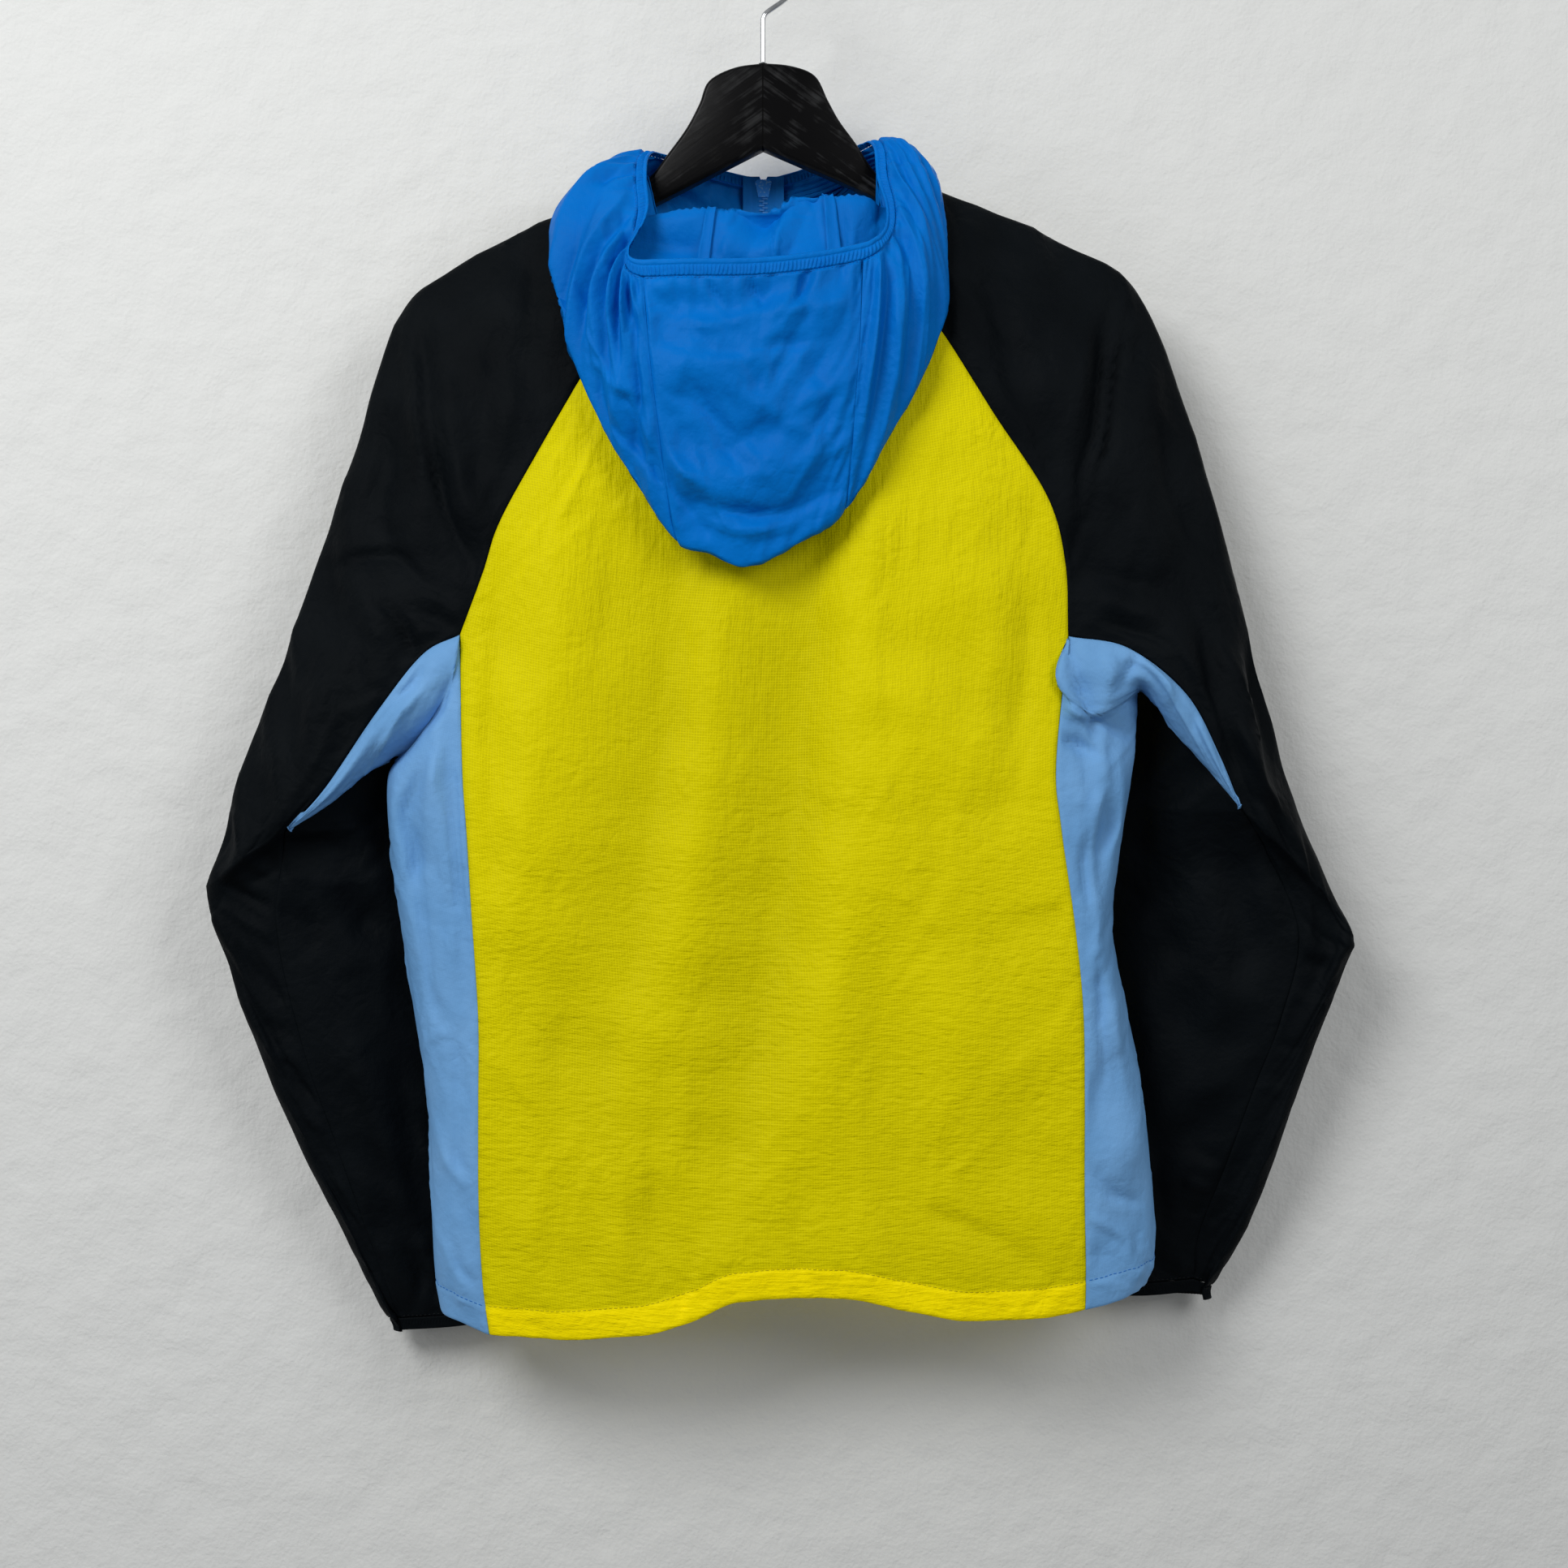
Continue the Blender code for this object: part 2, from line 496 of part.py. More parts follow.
def point_at(line, share):
    """The point at a share of the length of a line of straight stretches."""
    travelled = np.concatenate([[0], np.cumsum(np.linalg.norm(np.diff(line, axis=0), axis=1))])
    return np.array([np.interp(share * travelled[-1], travelled, line[:, axis])
                     for axis in range(3)])


def neck_loop():
    """Half loops of the neck seam, from the zip round each side to the middle of the back."""
    loops = {}
    for side in ("left", "right"):
        front = front_grid(side)[0][::-1]
        sleeve = sleeve_grid(side)[0][::-1]
        back = back_grid()[0]
        back = back if side == "left" else back[::-1]
        back = back[:BACK_STEPS // 2 + 1]
        loops[side] = np.vstack([front, sleeve[1:], back[1:]])
    return loops


def hood_columns():
    """Lines round the hood, from the left edge of the zip to the right one."""
    loops = neck_loop()
    middle = np.array([4.0, 4.0, 0.0])
    tables = {}
    for side, loop in loops.items():
        rows = []
        for neck, roll, fold_point, brim in HOOD_STATIONS[side]:
            start = point_at(loop, neck)
            inwards = middle - start
            inwards[2] = 0
            start = start + inwards / np.linalg.norm(inwards) * 0.6 + np.array([0, 0, 1.4])
            fold_point, brim = np.array(fold_point, float), np.array(brim, float)
            outwards = fold_point - start
            outwards[2] = 0
            outwards /= np.linalg.norm(outwards)
            flat_top = start + (fold_point - start) * 0.3
            rolled_top = start + outwards * ROLL_REACH + np.array([0, 0, ROLL_HEIGHT])
            top = flat_top + (rolled_top - flat_top) * roll
            flat_inner = start + (fold_point - start) * 0.65
            rolled_inner = (top + fold_point) / 2 + outwards * 2
            rolled_inner[1] -= HOOD_INNER_LIE * (fold_point[1] < -20)
            inner = flat_inner + (rolled_inner - flat_inner) * roll
            belly = np.array([outwards[0] * 4, -HOOD_OUTER_BELLY, 4.0]) * roll
            outer = (fold_point + brim) / 2 + belly
            rows.append([start, top, inner, fold_point, outer, brim])
        tables[side] = np.asarray(rows)
    net = np.concatenate([tables["left"], tables["right"][::-1][1:]])
    return net


def hood_rows(at):
    """Curves from the neck seam to the brim at the given stations round the hood."""
    net = hood_columns()
    columns = [smooth(net[:, number], at) for number in range(net.shape[1])]
    return np.stack(columns, axis=1)


def brim_height(at):
    """Height of the brim band round the hood: taller across the back."""
    last = 2 * (len(HOOD_STATIONS["left"]) - 1)
    rise = np.clip((last / 2 - np.abs(at - last / 2) - 10) / 2, 0, 1)
    return BRIM_SIDE + (BRIM_BACK - BRIM_SIDE) * rise


def hood_grid(at):
    return np.stack([along(row, HOOD_STEPS, 0, brim_height(station) + SEAM, stops=HOOD_STOPS)
                     for row, station in zip(hood_rows(at), at)])


def brim_grid(at):
    grid = []
    for row, station in zip(hood_rows(at), at):
        curve = smooth(row, np.linspace(0, len(row) - 1, 51))
        length = np.linalg.norm(np.diff(curve, axis=0), axis=1).sum()
        grid.append(along(row, 2, length - brim_height(station) + 5 * SEAM, 0))
    return np.stack(grid)


# ---- zip ------------------------------------------------------------------------------------

def tape_grid(side):
    """Zip tape behind the edge of a front and of the collar, from the hem to the slider."""
    last = 2 * (len(HOOD_STATIONS["left"]) - 1)
    front = front_grid(side)
    collar = hood_grid(np.array([0, 0.4]) if side == "left" else np.array([last, last - 0.4]))
    edge = np.vstack([front[::-1, -1], collar[0]])
    inner = np.vstack([front[::-1, -2], collar[1]])
    below_slider = edge[:, 2] < SLIDER_TOP - SLIDER_BRIDGE - 2 * SEAM
    rows = []
    for edge_point, inner_point in zip(edge[below_slider], inner[below_slider]):
        way = (inner_point - edge_point) / abs(inner_point[0] - edge_point[0])
        rows.append([edge_point + way * (distance - ZIP_EDGE) - np.array([0, TAPE_BEHIND, 0])
                     for distance in (2 * SEAM, ZIP_EDGE, TAPE_WIDTH)])
    return np.asarray(rows)


# ---- making objects -------------------------------------------------------------------------

def clear_scene():
    for thing in list(bpy.data.objects):
        bpy.data.objects.remove(thing, do_unlink=True)


def material(name, colour, roughness, metallic=0.0):
    found = bpy.data.materials.get(name)
    if found:
        return found
    made = bpy.data.materials.new(name)
    made.use_nodes = True
    shader = made.node_tree.nodes["Principled BSDF"]
    shader.inputs["Base Color"].default_value = (*colour, 1.0)
    shader.inputs["Roughness"].default_value = roughness
    shader.inputs["Metallic"].default_value = metallic
    return made


def add_object(name, mesh, finish, group):
    thing = bpy.data.objects.new(name, mesh)
    thing.data.materials.append(finish)
    group.objects.link(thing)
    return thing


def cloth(name, grid, finish, group, wall=CLOTH, ring=False, flip=False):
    """A cloth piece: a grid bent over its rows and columns, with a wall on its inner side."""
    rows, columns = grid.shape[:2]
    shell = bmesh.new()
    bmesh.ops.create_grid(shell, x_segments=columns - 1, y_segments=rows - 1, size=0.5)
    for corner in shell.verts:
        column = round((corner.co.x + 0.5) * (columns - 1))
        row = round((corner.co.y + 0.5) * (rows - 1))
        corner.co = grid[row, column] * MM
    if ring:
        bmesh.ops.remove_doubles(shell, verts=shell.verts, dist=0.00001)
    if flip:
        bmesh.ops.reverse_faces(shell, faces=shell.faces)
    mesh = bpy.data.meshes.new(name)
    shell.to_mesh(mesh)
    shell.free()
    mesh.shade_smooth()
    thing = add_object(name, mesh, finish, group)
    solid = thing.modifiers.new("wall", "SOLIDIFY")
    solid.thickness = wall * MM
    solid.offset = -1
    solid.use_even_offset = False
    return thing


def outline_object(name, points, half, finish, group, bevel=0.0, hole=None):
    """A flat outline in x and z, thickened to both sides along y."""
    curve = bpy.data.curves.new(name, "CURVE")
    curve.dimensions = "2D"
    curve.fill_mode = "BOTH"
    curve.extrude = (half - bevel) * MM
    curve.bevel_depth = bevel * MM
    curve.offset = -bevel * MM
    curve.bevel_resolution = 1
    for loop in [points] + ([hole] if hole else []):
        spline = curve.splines.new("POLY")
        spline.points.add(len(loop) - 1)
        for point, (x, z) in zip(spline.points, loop):
            point.co = (x * MM, z * MM, 0, 1)
        spline.use_cyclic_u = True
    thing = add_object(name, curve, finish, group)
    thing.rotation_euler = (math.radians(90), 0, 0)
    return thing


def wire_object(name, route, thickness, finish, group):
    """A wire through points, with filled ends."""
    curve = bpy.data.curves.new(name, "CURVE")
    curve.dimensions = "3D"
    curve.bevel_depth = thickness / 2 * MM
    curve.bevel_resolution = 2
    curve.use_fill_caps = True
    spline = curve.splines.new("POLY")
    spline.points.add(len(route) - 1)
    for point, place in zip(spline.points, route):
        point.co = (*(np.asarray(place) * MM), 1)
    return add_object(name, curve, finish, group)


def as_mesh(thing):
    """Turns a curve object into a mesh object in the same place."""
    bpy.context.view_layer.update()
    seen = thing.evaluated_get(bpy.context.evaluated_depsgraph_get())
    mesh = bpy.data.meshes.new_from_object(seen)
    shape = bmesh.new()
    shape.from_mesh(mesh)
    bmesh.ops.transform(shape, matrix=thing.matrix_world, verts=shape.verts)
    bmesh.ops.remove_doubles(shape, verts=shape.verts, dist=0.00001)
    bmesh.ops.recalc_face_normals(shape, faces=shape.faces)
    shape.to_mesh(mesh)
    shape.free()
    name, finish, group = thing.name, thing.data.materials[0], thing.users_collection[0]
    bpy.data.objects.remove(thing, do_unlink=True)
    made = bpy.data.objects.new(name, mesh)
    if not mesh.materials:
        mesh.materials.append(finish)
    group.objects.link(made)
    return made


def hanger(group, lacquer, chrome):
    for side, outline in HANGER_OUTLINE.items():
        top, bottom = outline
        line = smooth([(x, z, 0) for x, z in top], np.linspace(0, len(top) - 1, 25))
        points = [(x, z) for x, z, _ in line] + list(bottom)
        half = outline_object("hanger_" + side, points, WOOD / 2, lacquer, group, bevel=2.0)
        sweep = math.atan(ARM_SWEEP) * (-1 if side == "left" else 1)
        half.rotation_euler = (math.radians(90), 0, sweep)
    centre = -RING_RADIUS + WIRE / 2
    ring = [(RING_RADIUS * math.cos(math.radians(turn)), 0,
             centre + RING_RADIUS * math.sin(math.radians(turn))) for turn in range(-15, 211, 15)]
    route = [(x, 0, z) for x, z in HOOK_STEM] + ring
    bends = smooth(route, np.linspace(0, len(route) - 1, 44))
    wire_object("hanger_hook", bends, WIRE, chrome, group)


def zip_hardware(group, cutters, blue):
    """The slider at the top of the collar, and the pull tab that hangs from it in front."""
    tape = tape_grid("left")
    tape_y = tape[-1, 0, 1] - TAPE / 2
    bottom = SLIDER_TOP - SLIDER_HEIGHT
    wide, narrow = SLIDER_WIDE / 2, SLIDER_NARROW / 2
    outline = [(-wide, SLIDER_TOP - 1.5), (-wide + 1.5, SLIDER_TOP), (wide - 1.5, SLIDER_TOP),
               (wide, SLIDER_TOP - 1.5), (narrow, bottom), (-narrow, bottom)]
    plates = SLIDER_SLOT / 2 + SLIDER_PLATE
    slider = outline_object("zip_slider", outline, plates, blue, group)
    slider.location.y = tape_y * MM
    slider = as_mesh(slider)

    bpy.ops.mesh.primitive_cube_add(size=1)
    slot = bpy.context.object
    slot.name = "slider_slot"
    slot.scale = (30 * MM, SLIDER_SLOT * MM, 20 * MM)
    slot.location = (0, tape_y * MM, (SLIDER_TOP - SLIDER_BRIDGE - 10) * MM)
    for owner in list(slot.users_collection):
        owner.objects.unlink(slot)
    cutters.objects.link(slot)
    slot.hide_render = True
    slot.display_type = "WIRE"
    cut = slider.modifiers.new("slot", "BOOLEAN")
    cut.operation = "DIFFERENCE"
    cut.object = slot

    middle = SLIDER_TOP - SLIDER_HEIGHT / 2
    plate_front = tape_y + plates
    arch_route = [(0, plate_front - 0.8, middle + ARCH_SPAN), (0, plate_front + 1.6, middle + ARCH_SPAN),
                  (0, plate_front + ARCH_REACH, middle + ARCH_SPAN - 1),
                  (0, plate_front + ARCH_REACH, middle - ARCH_SPAN + 1),
                  (0, plate_front + 1.6, middle - ARCH_SPAN), (0, plate_front - 0.8, middle - ARCH_SPAN)]
    arch = as_mesh(wire_object("slider_arch", arch_route, ARCH_WIRE, blue, cutters))
    arch.hide_render = True
    arch.display_type = "WIRE"
    join = slider.modifiers.new("arch", "BOOLEAN")
    join.operation = "UNION"
    join.object = arch

    axis = PULL_AXIS
    half_bar = 0.6
    hole_end = 3.8
    hole_half = ARCH_WIRE / 2 + 0.45
    tab = [(-2.2, half_bar), (2.2, half_bar), (2.5, -8), (2.9, -PULL_LENGTH + 1.5),
           (1.8, -PULL_LENGTH), (-1.8, -PULL_LENGTH), (-2.9, -PULL_LENGTH + 1.5), (-2.5, -8)]
    hole = [(-hole_half, -half_bar), (hole_half, -half_bar), (hole_half, -hole_end),
            (-hole_half, -hole_end)]
    pull = outline_object("zip_pull", tab, PULL_THICKNESS / 2, blue, group, hole=hole)
    pull.location = (0, (plate_front + axis) * MM, (middle - ARCH_SPAN + ARCH_WIRE / 2 + 0.3
                                                    + half_bar) * MM)


def main():
    clear_scene()
    group = bpy.data.collections.new("windbreaker_jacket")
    bpy.context.scene.collection.children.link(group)
    cutters = bpy.data.collections.new("cutters")
    bpy.context.scene.collection.children.link(cutters)
    lacquer = material("black_lacquer", LACQUER, 0.35)
    chrome = material("chrome_wire", CHROME, 0.15, 1.0)
    yellow = material("yellow_ripstop", YELLOW, 0.55)
    black = material("black_woven", BLACK, 0.6)
    light_blue = material("light_blue_woven", LIGHT_BLUE, 0.55)
    blue = material("blue_woven", BLUE, 0.5)

    cloth("back_panel", back_grid(), yellow, group)
    for side in ("left", "right"):
        left = side == "left"
        cloth("front_" + side, front_grid(side), yellow, group, flip=not left)
        cloth("side_" + side, side_grid(side), light_blue, group, flip=left)
        cloth("sleeve_" + side, sleeve_grid(side), black, group, flip=not left)
        cloth("cuff_" + side, cuff_grid(side), black, group, wall=ELASTIC, ring=True,
              flip=not left)
        cloth("zip_tape_" + side, tape_grid(side), blue, group, wall=TAPE, flip=not left)

    last = 2 * (len(HOOD_STATIONS["left"]) - 1)
    left_at = np.linspace(0, HOOD_SEAM, 17)
    centre_at = np.linspace(HOOD_SEAM, last - HOOD_SEAM, 7)
    right_at = last - left_at[::-1]
    cloth("hood_left", draw_in(hood_grid(left_at), first=False, gap=2 * SEAM), blue, group, flip=True)
    cloth("hood_centre", draw_in(hood_grid(centre_at), gap=8 * SEAM), blue, group, flip=True)
    cloth("hood_right", draw_in(hood_grid(right_at), last=False, gap=2 * SEAM), blue, group, flip=True)
    brim_at = np.concatenate([left_at, centre_at[1:-1], right_at])
    cloth("hood_brim", brim_grid(brim_at), blue, group, wall=ELASTIC, flip=True)
    hanger(group, lacquer, chrome)
    zip_hardware(group, cutters, blue)


main()
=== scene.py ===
"""Looks of a hooded windbreaker that hangs on a two-piece wooden hanger.

Lengths in the tables are in millimetres, in the frame of the model: +Z up, the back of the
jacket towards -Y, the wearer's left at -X, the origin at the inside top of the hook's ring.
"""
import math

import bmesh
import bpy
import numpy as np
from mathutils import Matrix


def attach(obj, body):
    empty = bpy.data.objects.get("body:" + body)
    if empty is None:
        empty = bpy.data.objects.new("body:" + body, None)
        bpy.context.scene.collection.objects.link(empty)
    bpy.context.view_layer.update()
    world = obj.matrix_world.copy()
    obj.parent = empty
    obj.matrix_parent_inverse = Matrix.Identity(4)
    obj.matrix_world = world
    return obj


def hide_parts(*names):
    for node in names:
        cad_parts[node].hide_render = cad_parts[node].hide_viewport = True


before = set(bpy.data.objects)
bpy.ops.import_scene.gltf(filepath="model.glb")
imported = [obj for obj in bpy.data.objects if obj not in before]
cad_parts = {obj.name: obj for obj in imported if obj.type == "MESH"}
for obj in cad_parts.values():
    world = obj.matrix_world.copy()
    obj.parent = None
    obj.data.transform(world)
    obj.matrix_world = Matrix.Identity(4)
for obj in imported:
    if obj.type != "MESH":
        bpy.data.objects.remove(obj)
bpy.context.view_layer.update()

MM = 0.001
SEAM = 0.04                # how far a sheet's edge stays off the seam
SHELL = 0.45               # thickness of a cloth sheet
ZIP_EDGE = 5.6             # from the middle of the zip to the edge of a front
TAPE_WIDTH = 13.0
TAPE_BEHIND = 3.4
SLIDER_TOP = -146.0
SLIDER_HEIGHT = 11.0
TOOTH_PITCH = 2.9
HEM_STITCH = 3.2
BRIM_BACK = 10.0           # height of the gathered band across the back of the hood
BRIM_SIDE = 7.0            # and round the sides and the collar
CUFF_HEIGHT = 8.0
WIRE = 3.3
RING_RADIUS = 22.0
HEM_CASING = 18.0          # height of the folded hem

ARMPIT = 6                 # station of the armpit
TIP = 10                   # station of the gusset's tip
HEM = 14                   # station of the hem
CUFF = 17                  # station of the cuff

# Raglan seams, outer fold and inner fold of each sleeve: x, y, z.
# Stations 0 to 6 run from the neck to the armpit, 7 to 10 down to the gusset's tip at the elbow,
# and 11 to 17 down the forearm to the cuff.
SLEEVE_BACK_SEAM = {
    "left": [(-63, -20, -191), (-83, -23, -235), (-111, -26, -283), (-137, -29, -329),
             (-159, -30, -370), (-169, -29, -400), (-183, -27, -437), (-206, -26, -449),
             (-234, -25, -484), (-266, -22, -530), (-291, -15, -556), (-296, 1, -571),
             (-301, 5, -619), (-286, 10, -691), (-268, 16, -748), (-251, 24, -802),
             (-237, 33, -846), (-231, 40, -866)],
    "right": [(73, -20, -191), (88, -23, -225), (111, -26, -257), (140, -29, -304),
              (172, -30, -354), (183, -29, -394), (185, -27, -438), (222, -26, -445),
              (257, -25, -473), (278, -22, -511), (292, -15, -543), (311, 2, -570),
              (332, 7, -620), (322, 10, -672), (307, 16, -715), (291, 24, -764),
              (275, 33, -811), (273, 40, -841)],
}
SLEEVE_OUTER_FOLD = {
    "left": [(-74, 4, -150.5), (-94, 5, -161), (-145, 7, -184), (-195, 10, -210),
             (-227, 12, -239), (-254, 12, -323), (-280, 10, -400), (-298, 9, -453),
             (-321, 9, -512), (-338, 10, -570), (-346, 12, -591), (-345, 14, -603),
             (-338, 15, -627), (-314, 19, -697), (-291, 26, -755), (-267, 34, -807),
             (-248, 43, -850), (-239, 49, -868)],
    "right": [(73, 4, -147.5), (95, 5, -156), (136, 7, -171), (191, 10, -195),
              (233, 12, -223), (265, 12, -302), (288, 10, -381), (305, 9, -450),
              (321, 9, -512), (339, 10, -563), (358, 12, -603), (367, 14, -622),
              (363, 15, -641), (347, 19, -684), (331, 26, -732), (315, 34, -785),
              (298, 43, -825), (286, 49, -847)],
}
SLEEVE_INNER_FOLD = {           # from station 7 on
    "left": [(-209, 42, -490), (-204, 46, -510), (-201, 49, -530), (-199, 50, -550),
             (-197, 51, -569), (-195, 52, -594), (-185, 54, -665), (-177, 55, -727),
             (-171, 56, -785), (-163, 57, -835), (-157, 57, -860)],
    "right": [(219, 42, -466), (216, 46, -488), (212, 49, -514), (209, 50, -542),
              (207, 51, -565), (206, 52, -594), (203, 54, -655), (198, 55, -709),
              (193, 56, -762), (192, 57, -811), (204, 57, -846)],
}
SLEEVE_FRONT_SEAM = {           # front raglan seam, then the lower edge of the gusset
    "left": [(-55, 24, -169), (-72, 27, -203), (-100, 29, -251), (-136, 31, -305),
             (-159, 32, -356), (-172, 31, -397), (-188, 27, -439), (-237, 14, -512),
             (-243, 0, -519), (-264, -8, -538), (-291, -14, -557)],
    "right": [(56, 24, -167), (74, 27, -198), (102, 29, -239), (135, 31, -289),
              (171, 32, -340), (184, 31, -386), (189, 27, -439), (238, 14, -470),
              (255, 0, -492), (274, -8, -519), (293, -14, -544)],
}
# How far the back of the sleeve, its front, and the inner part of its back stand off the
# straight line between the folds and seams, one row for each station.
SLEEVE_FULLNESS = [
    # back, front, inner back
    (6, 6, 0), (8, 7, 0), (10, 8, 0), (11, 9, 0), (12, 10, 0), (13, 12, 0),
    (13, 13, 0), (13, 15, -5), (13, 16, -7), (12, 17, -3), (10, 17, 5), (4, 17, 11),
    (3, 16, 13), (4, 15, 14), (4, 14, 14), (3, 13, 13), (3, 12, 12), (2, 10, 10),
]
FOLD_ROUND = 9.0                # half width of the sleeve's rounded outer fold

# Side panels below the armpit: back seam, outermost line and front seam: x, y, z.
SIDE_BACK_SEAM = {
    "left": [(-183, -27, -437), (-181, -33, -515), (-178, -34, -559), (-175, -35, -606),
             (-171, -35, -669), (-171, -35, -724), (-171, -34, -778), (-169, -32, -825),
             (-165, -29, -860)],
    "right": [(185, -27, -438), (177, -33, -515), (180, -34, -554), (188, -35, -611),
              (193, -35, -661), (194, -35, -715), (194, -34, -773), (195, -32, -818),
              (195, -29, -845)],
}
SIDE_OUTERMOST = {
    "left": [(-224, 0, -510), (-231, 0, -524), (-230, 0, -560), (-223, 0, -614),
             (-214, 0, -670), (-206, 0, -726), (-204, 0, -780), (-202, 0, -826),
             (-198, 0, -850)],
    "right": [(230, -2, -471), (229, 0, -507), (222, 0, -554), (215, 0, -613),
              (224, 0, -666), (234, 0, -720), (240, 0, -778), (241, 0, -815),
              (235, 0, -834)],
}
SIDE_FRONT_SEAM = {
    "left": [(-188, 27, -439), (-200, 30, -517), (-201, 31, -561), (-197, 32, -612),
             (-192, 32, -672), (-187, 32, -730), (-184, 32, -788), (-182, 31, -836),
             (-179, 29, -868)],
    "right": [(189, 27, -439), (194, 30, -512), (196, 31, -555), (199, 31, -616),
              (202, 32, -670), (207, 32, -724), (209, 32, -785), (210, 31, -829),
              (206, 29, -854)],
}
# The bend under the arm, where the side panel turns into the gusset, from its back end to its
# front end, and the gusset's own cross lines from its upper edge to its lower one.
ARMPIT_BEND = {
    "left": [(-183, -27, -437), (-187, -31, -463), (-208, -20, -497), (-224, 0, -510),
             (-218, 17, -494), (-203, 26, -466), (-188, 27, -439)],
    "right": [(185, -27, -438), (177, -34, -466), (203, -27, -484), (230, -2, -471),
              (226, 15, -464), (208, 25, -455), (189, 27, -439)],
}
GUSSET = {
    "left": [
        [(-206, -26, -449), (-209, -31, -471), (-219, -25, -495), (-229, -12, -512),
         (-229, -2, -512), (-228, 8, -509), (-237, 14, -512)],
        [(-234, -25, -484), (-234, -28, -496), (-237, -25, -509), (-241, -15, -520),
         (-242, -10, -521), (-243, -5, -521), (-243, 0, -519)],
        [(-266, -22, -530), (-266, -23, -533), (-266, -21, -537), (-266, -17, -539),
         (-265, -14, -540), (-265, -11, -540), (-264, -8, -538)],
    ],
    "right": [
        [(222, -26, -445), (224, -31, -453), (228, -27, -463), (234, -14, -471),
         (236, -4, -473), (238, 5, -473), (238, 14, -470)],
        [(257, -25, -473), (255, -28, -480), (253, -24, -488), (252, -15, -494),
         (252, -10, -495), (253, -5, -495), (255, 0, -492)],
        [(278, -22, -511), (276, -23, -515), (275, -21, -518), (274, -17, -520),
         (274, -14, -521), (274, -11, -521), (274, -8, -519)],
    ],
}
TIP_STATION = 9.9               # the gusset stops just short of its point

BACK_MIDDLE_DEPTH = [-29, -31, -33, -35, -36.5, -37.5, -38, -39, -40, -40, -40, -40, -39, -38, -36]
FRONT_MIDDLE = [                # the line of the zip: x, y, z
    (0, 38, -200), (0, 38, -226), (0, 38, -262), (0, 38, -305), (1, 38, -352), (1, 38, -392),
    (2, 38, -442), (3, 38, -516), (4, 38, -560), (5, 38, -614), (6, 38, -672), (7, 38, -727),
    (8, 38, -780), (8, 37, -822), (8, 36, -848)]
HEM_LIFT = [                    # how far the back hem rises, along it from left to right
    # share of the way, mm
    (0.00, 0), (0.13, -4), (0.25, -3), (0.34, 4), (0.42, 15), (0.50, 16), (0.60, 14),
    (0.69, 6), (0.82, -3), (0.92, -3), (1.00, 0)]
HEM_LIFT_FROM = 11              # station at which the lift begins

# Hood, from the zip round one side to the middle of the back.
# neck is the share of the way round the neck seam, roll how far the hood rolls over it.
HOOD_STATIONS = {
    "left": [
        # neck, roll, fold line x, y, z, brim x, y, z
        (0.00, 0.0, (-5.6, 38, -172), (-5.6, 38, -144)),
        (0.15, 0.0, (-32, 38, -166), (-26, 34, -140)),
        (0.29, 0.2, (-60, 31, -152), (-42, 22, -137)),
        (0.38, 0.6, (-84, 15, -149), (-62, 9, -137)),
        (0.46, 1.0, (-102, 2, -154), (-67, -2, -139)),
        (0.54, 1.0, (-119, -9, -166), (-70, -12, -146)),
        (0.61, 1.0, (-129, -18, -185), (-70, -24, -161)),
        (0.67, 1.0, (-128, -27, -210), (-68, -36, -179)),
        (0.71, 1.0, (-122, -34, -242), (-70, -44, -191)),
        (0.75, 1.0, (-112, -39, -276), (-74, -51, -200)),
        (0.78, 1.0, (-99, -43, -306), (-78, -57, -209)),
        (0.81, 1.0, (-79, -46, -342), (-78, -61, -216)),
        (0.85, 1.0, (-50, -49, -384), (-71, -64, -219)),
        (0.92, 1.0, (-31, -50, -391), (-45, -67, -219)),
        (1.00, 1.0, (-10, -51, -400), (-4, -69, -219)),
    ],
    "right": [
        (0.00, 0.0, (5.6, 38, -172), (5.6, 38, -144)),
        (0.15, 0.0, (32, 38, -165), (26, 34, -139)),
        (0.29, 0.2, (58, 31, -150), (42, 22, -134)),
        (0.38, 0.6, (80, 15, -142), (60, 9, -131)),
        (0.46, 1.0, (94, 2, -142), (65, -2, -133)),
        (0.54, 1.0, (105, -9, -152), (68, -12, -141)),
        (0.61, 1.0, (110, -18, -172), (69, -24, -160)),
        (0.67, 1.0, (112, -27, -207), (73, -36, -177)),
        (0.71, 1.0, (112, -34, -238), (74, -44, -188)),
        (0.75, 1.0, (103, -39, -268), (73, -51, -196)),
        (0.78, 1.0, (93, -43, -290), (70, -57, -202)),
        (0.81, 1.0, (78, -46, -317), (67, -61, -205)),
        (0.85, 1.0, (49, -49, -366), (60, -64, -209)),
        (0.92, 1.0, (22, -50, -385), (32, -67, -215)),
        (1.00, 1.0, (-10, -51, -400), (-4, -69, -219)),
    ],
}
HOOD_SEAM = 12                  # station of the seam between a hood side and the centre panel
ROLL_HEIGHT = 9.0
ROLL_REACH = 6.0
ROLL_RISE = {"left": ((0.6, 1.0), (-1, 0)),      # share round the neck, mm
             "right": ((0.5, 0.6, 0.75, 0.87, 0.92, 0.97, 1.0), (0, 2, 4, 7, 7, 3, 0))}
HOOD_INNER_LIE = 4.0            # how far the inner layer hangs in front of the chord
HOOD_OUTER_BELLY = 9.0          # and the outer layer of its own

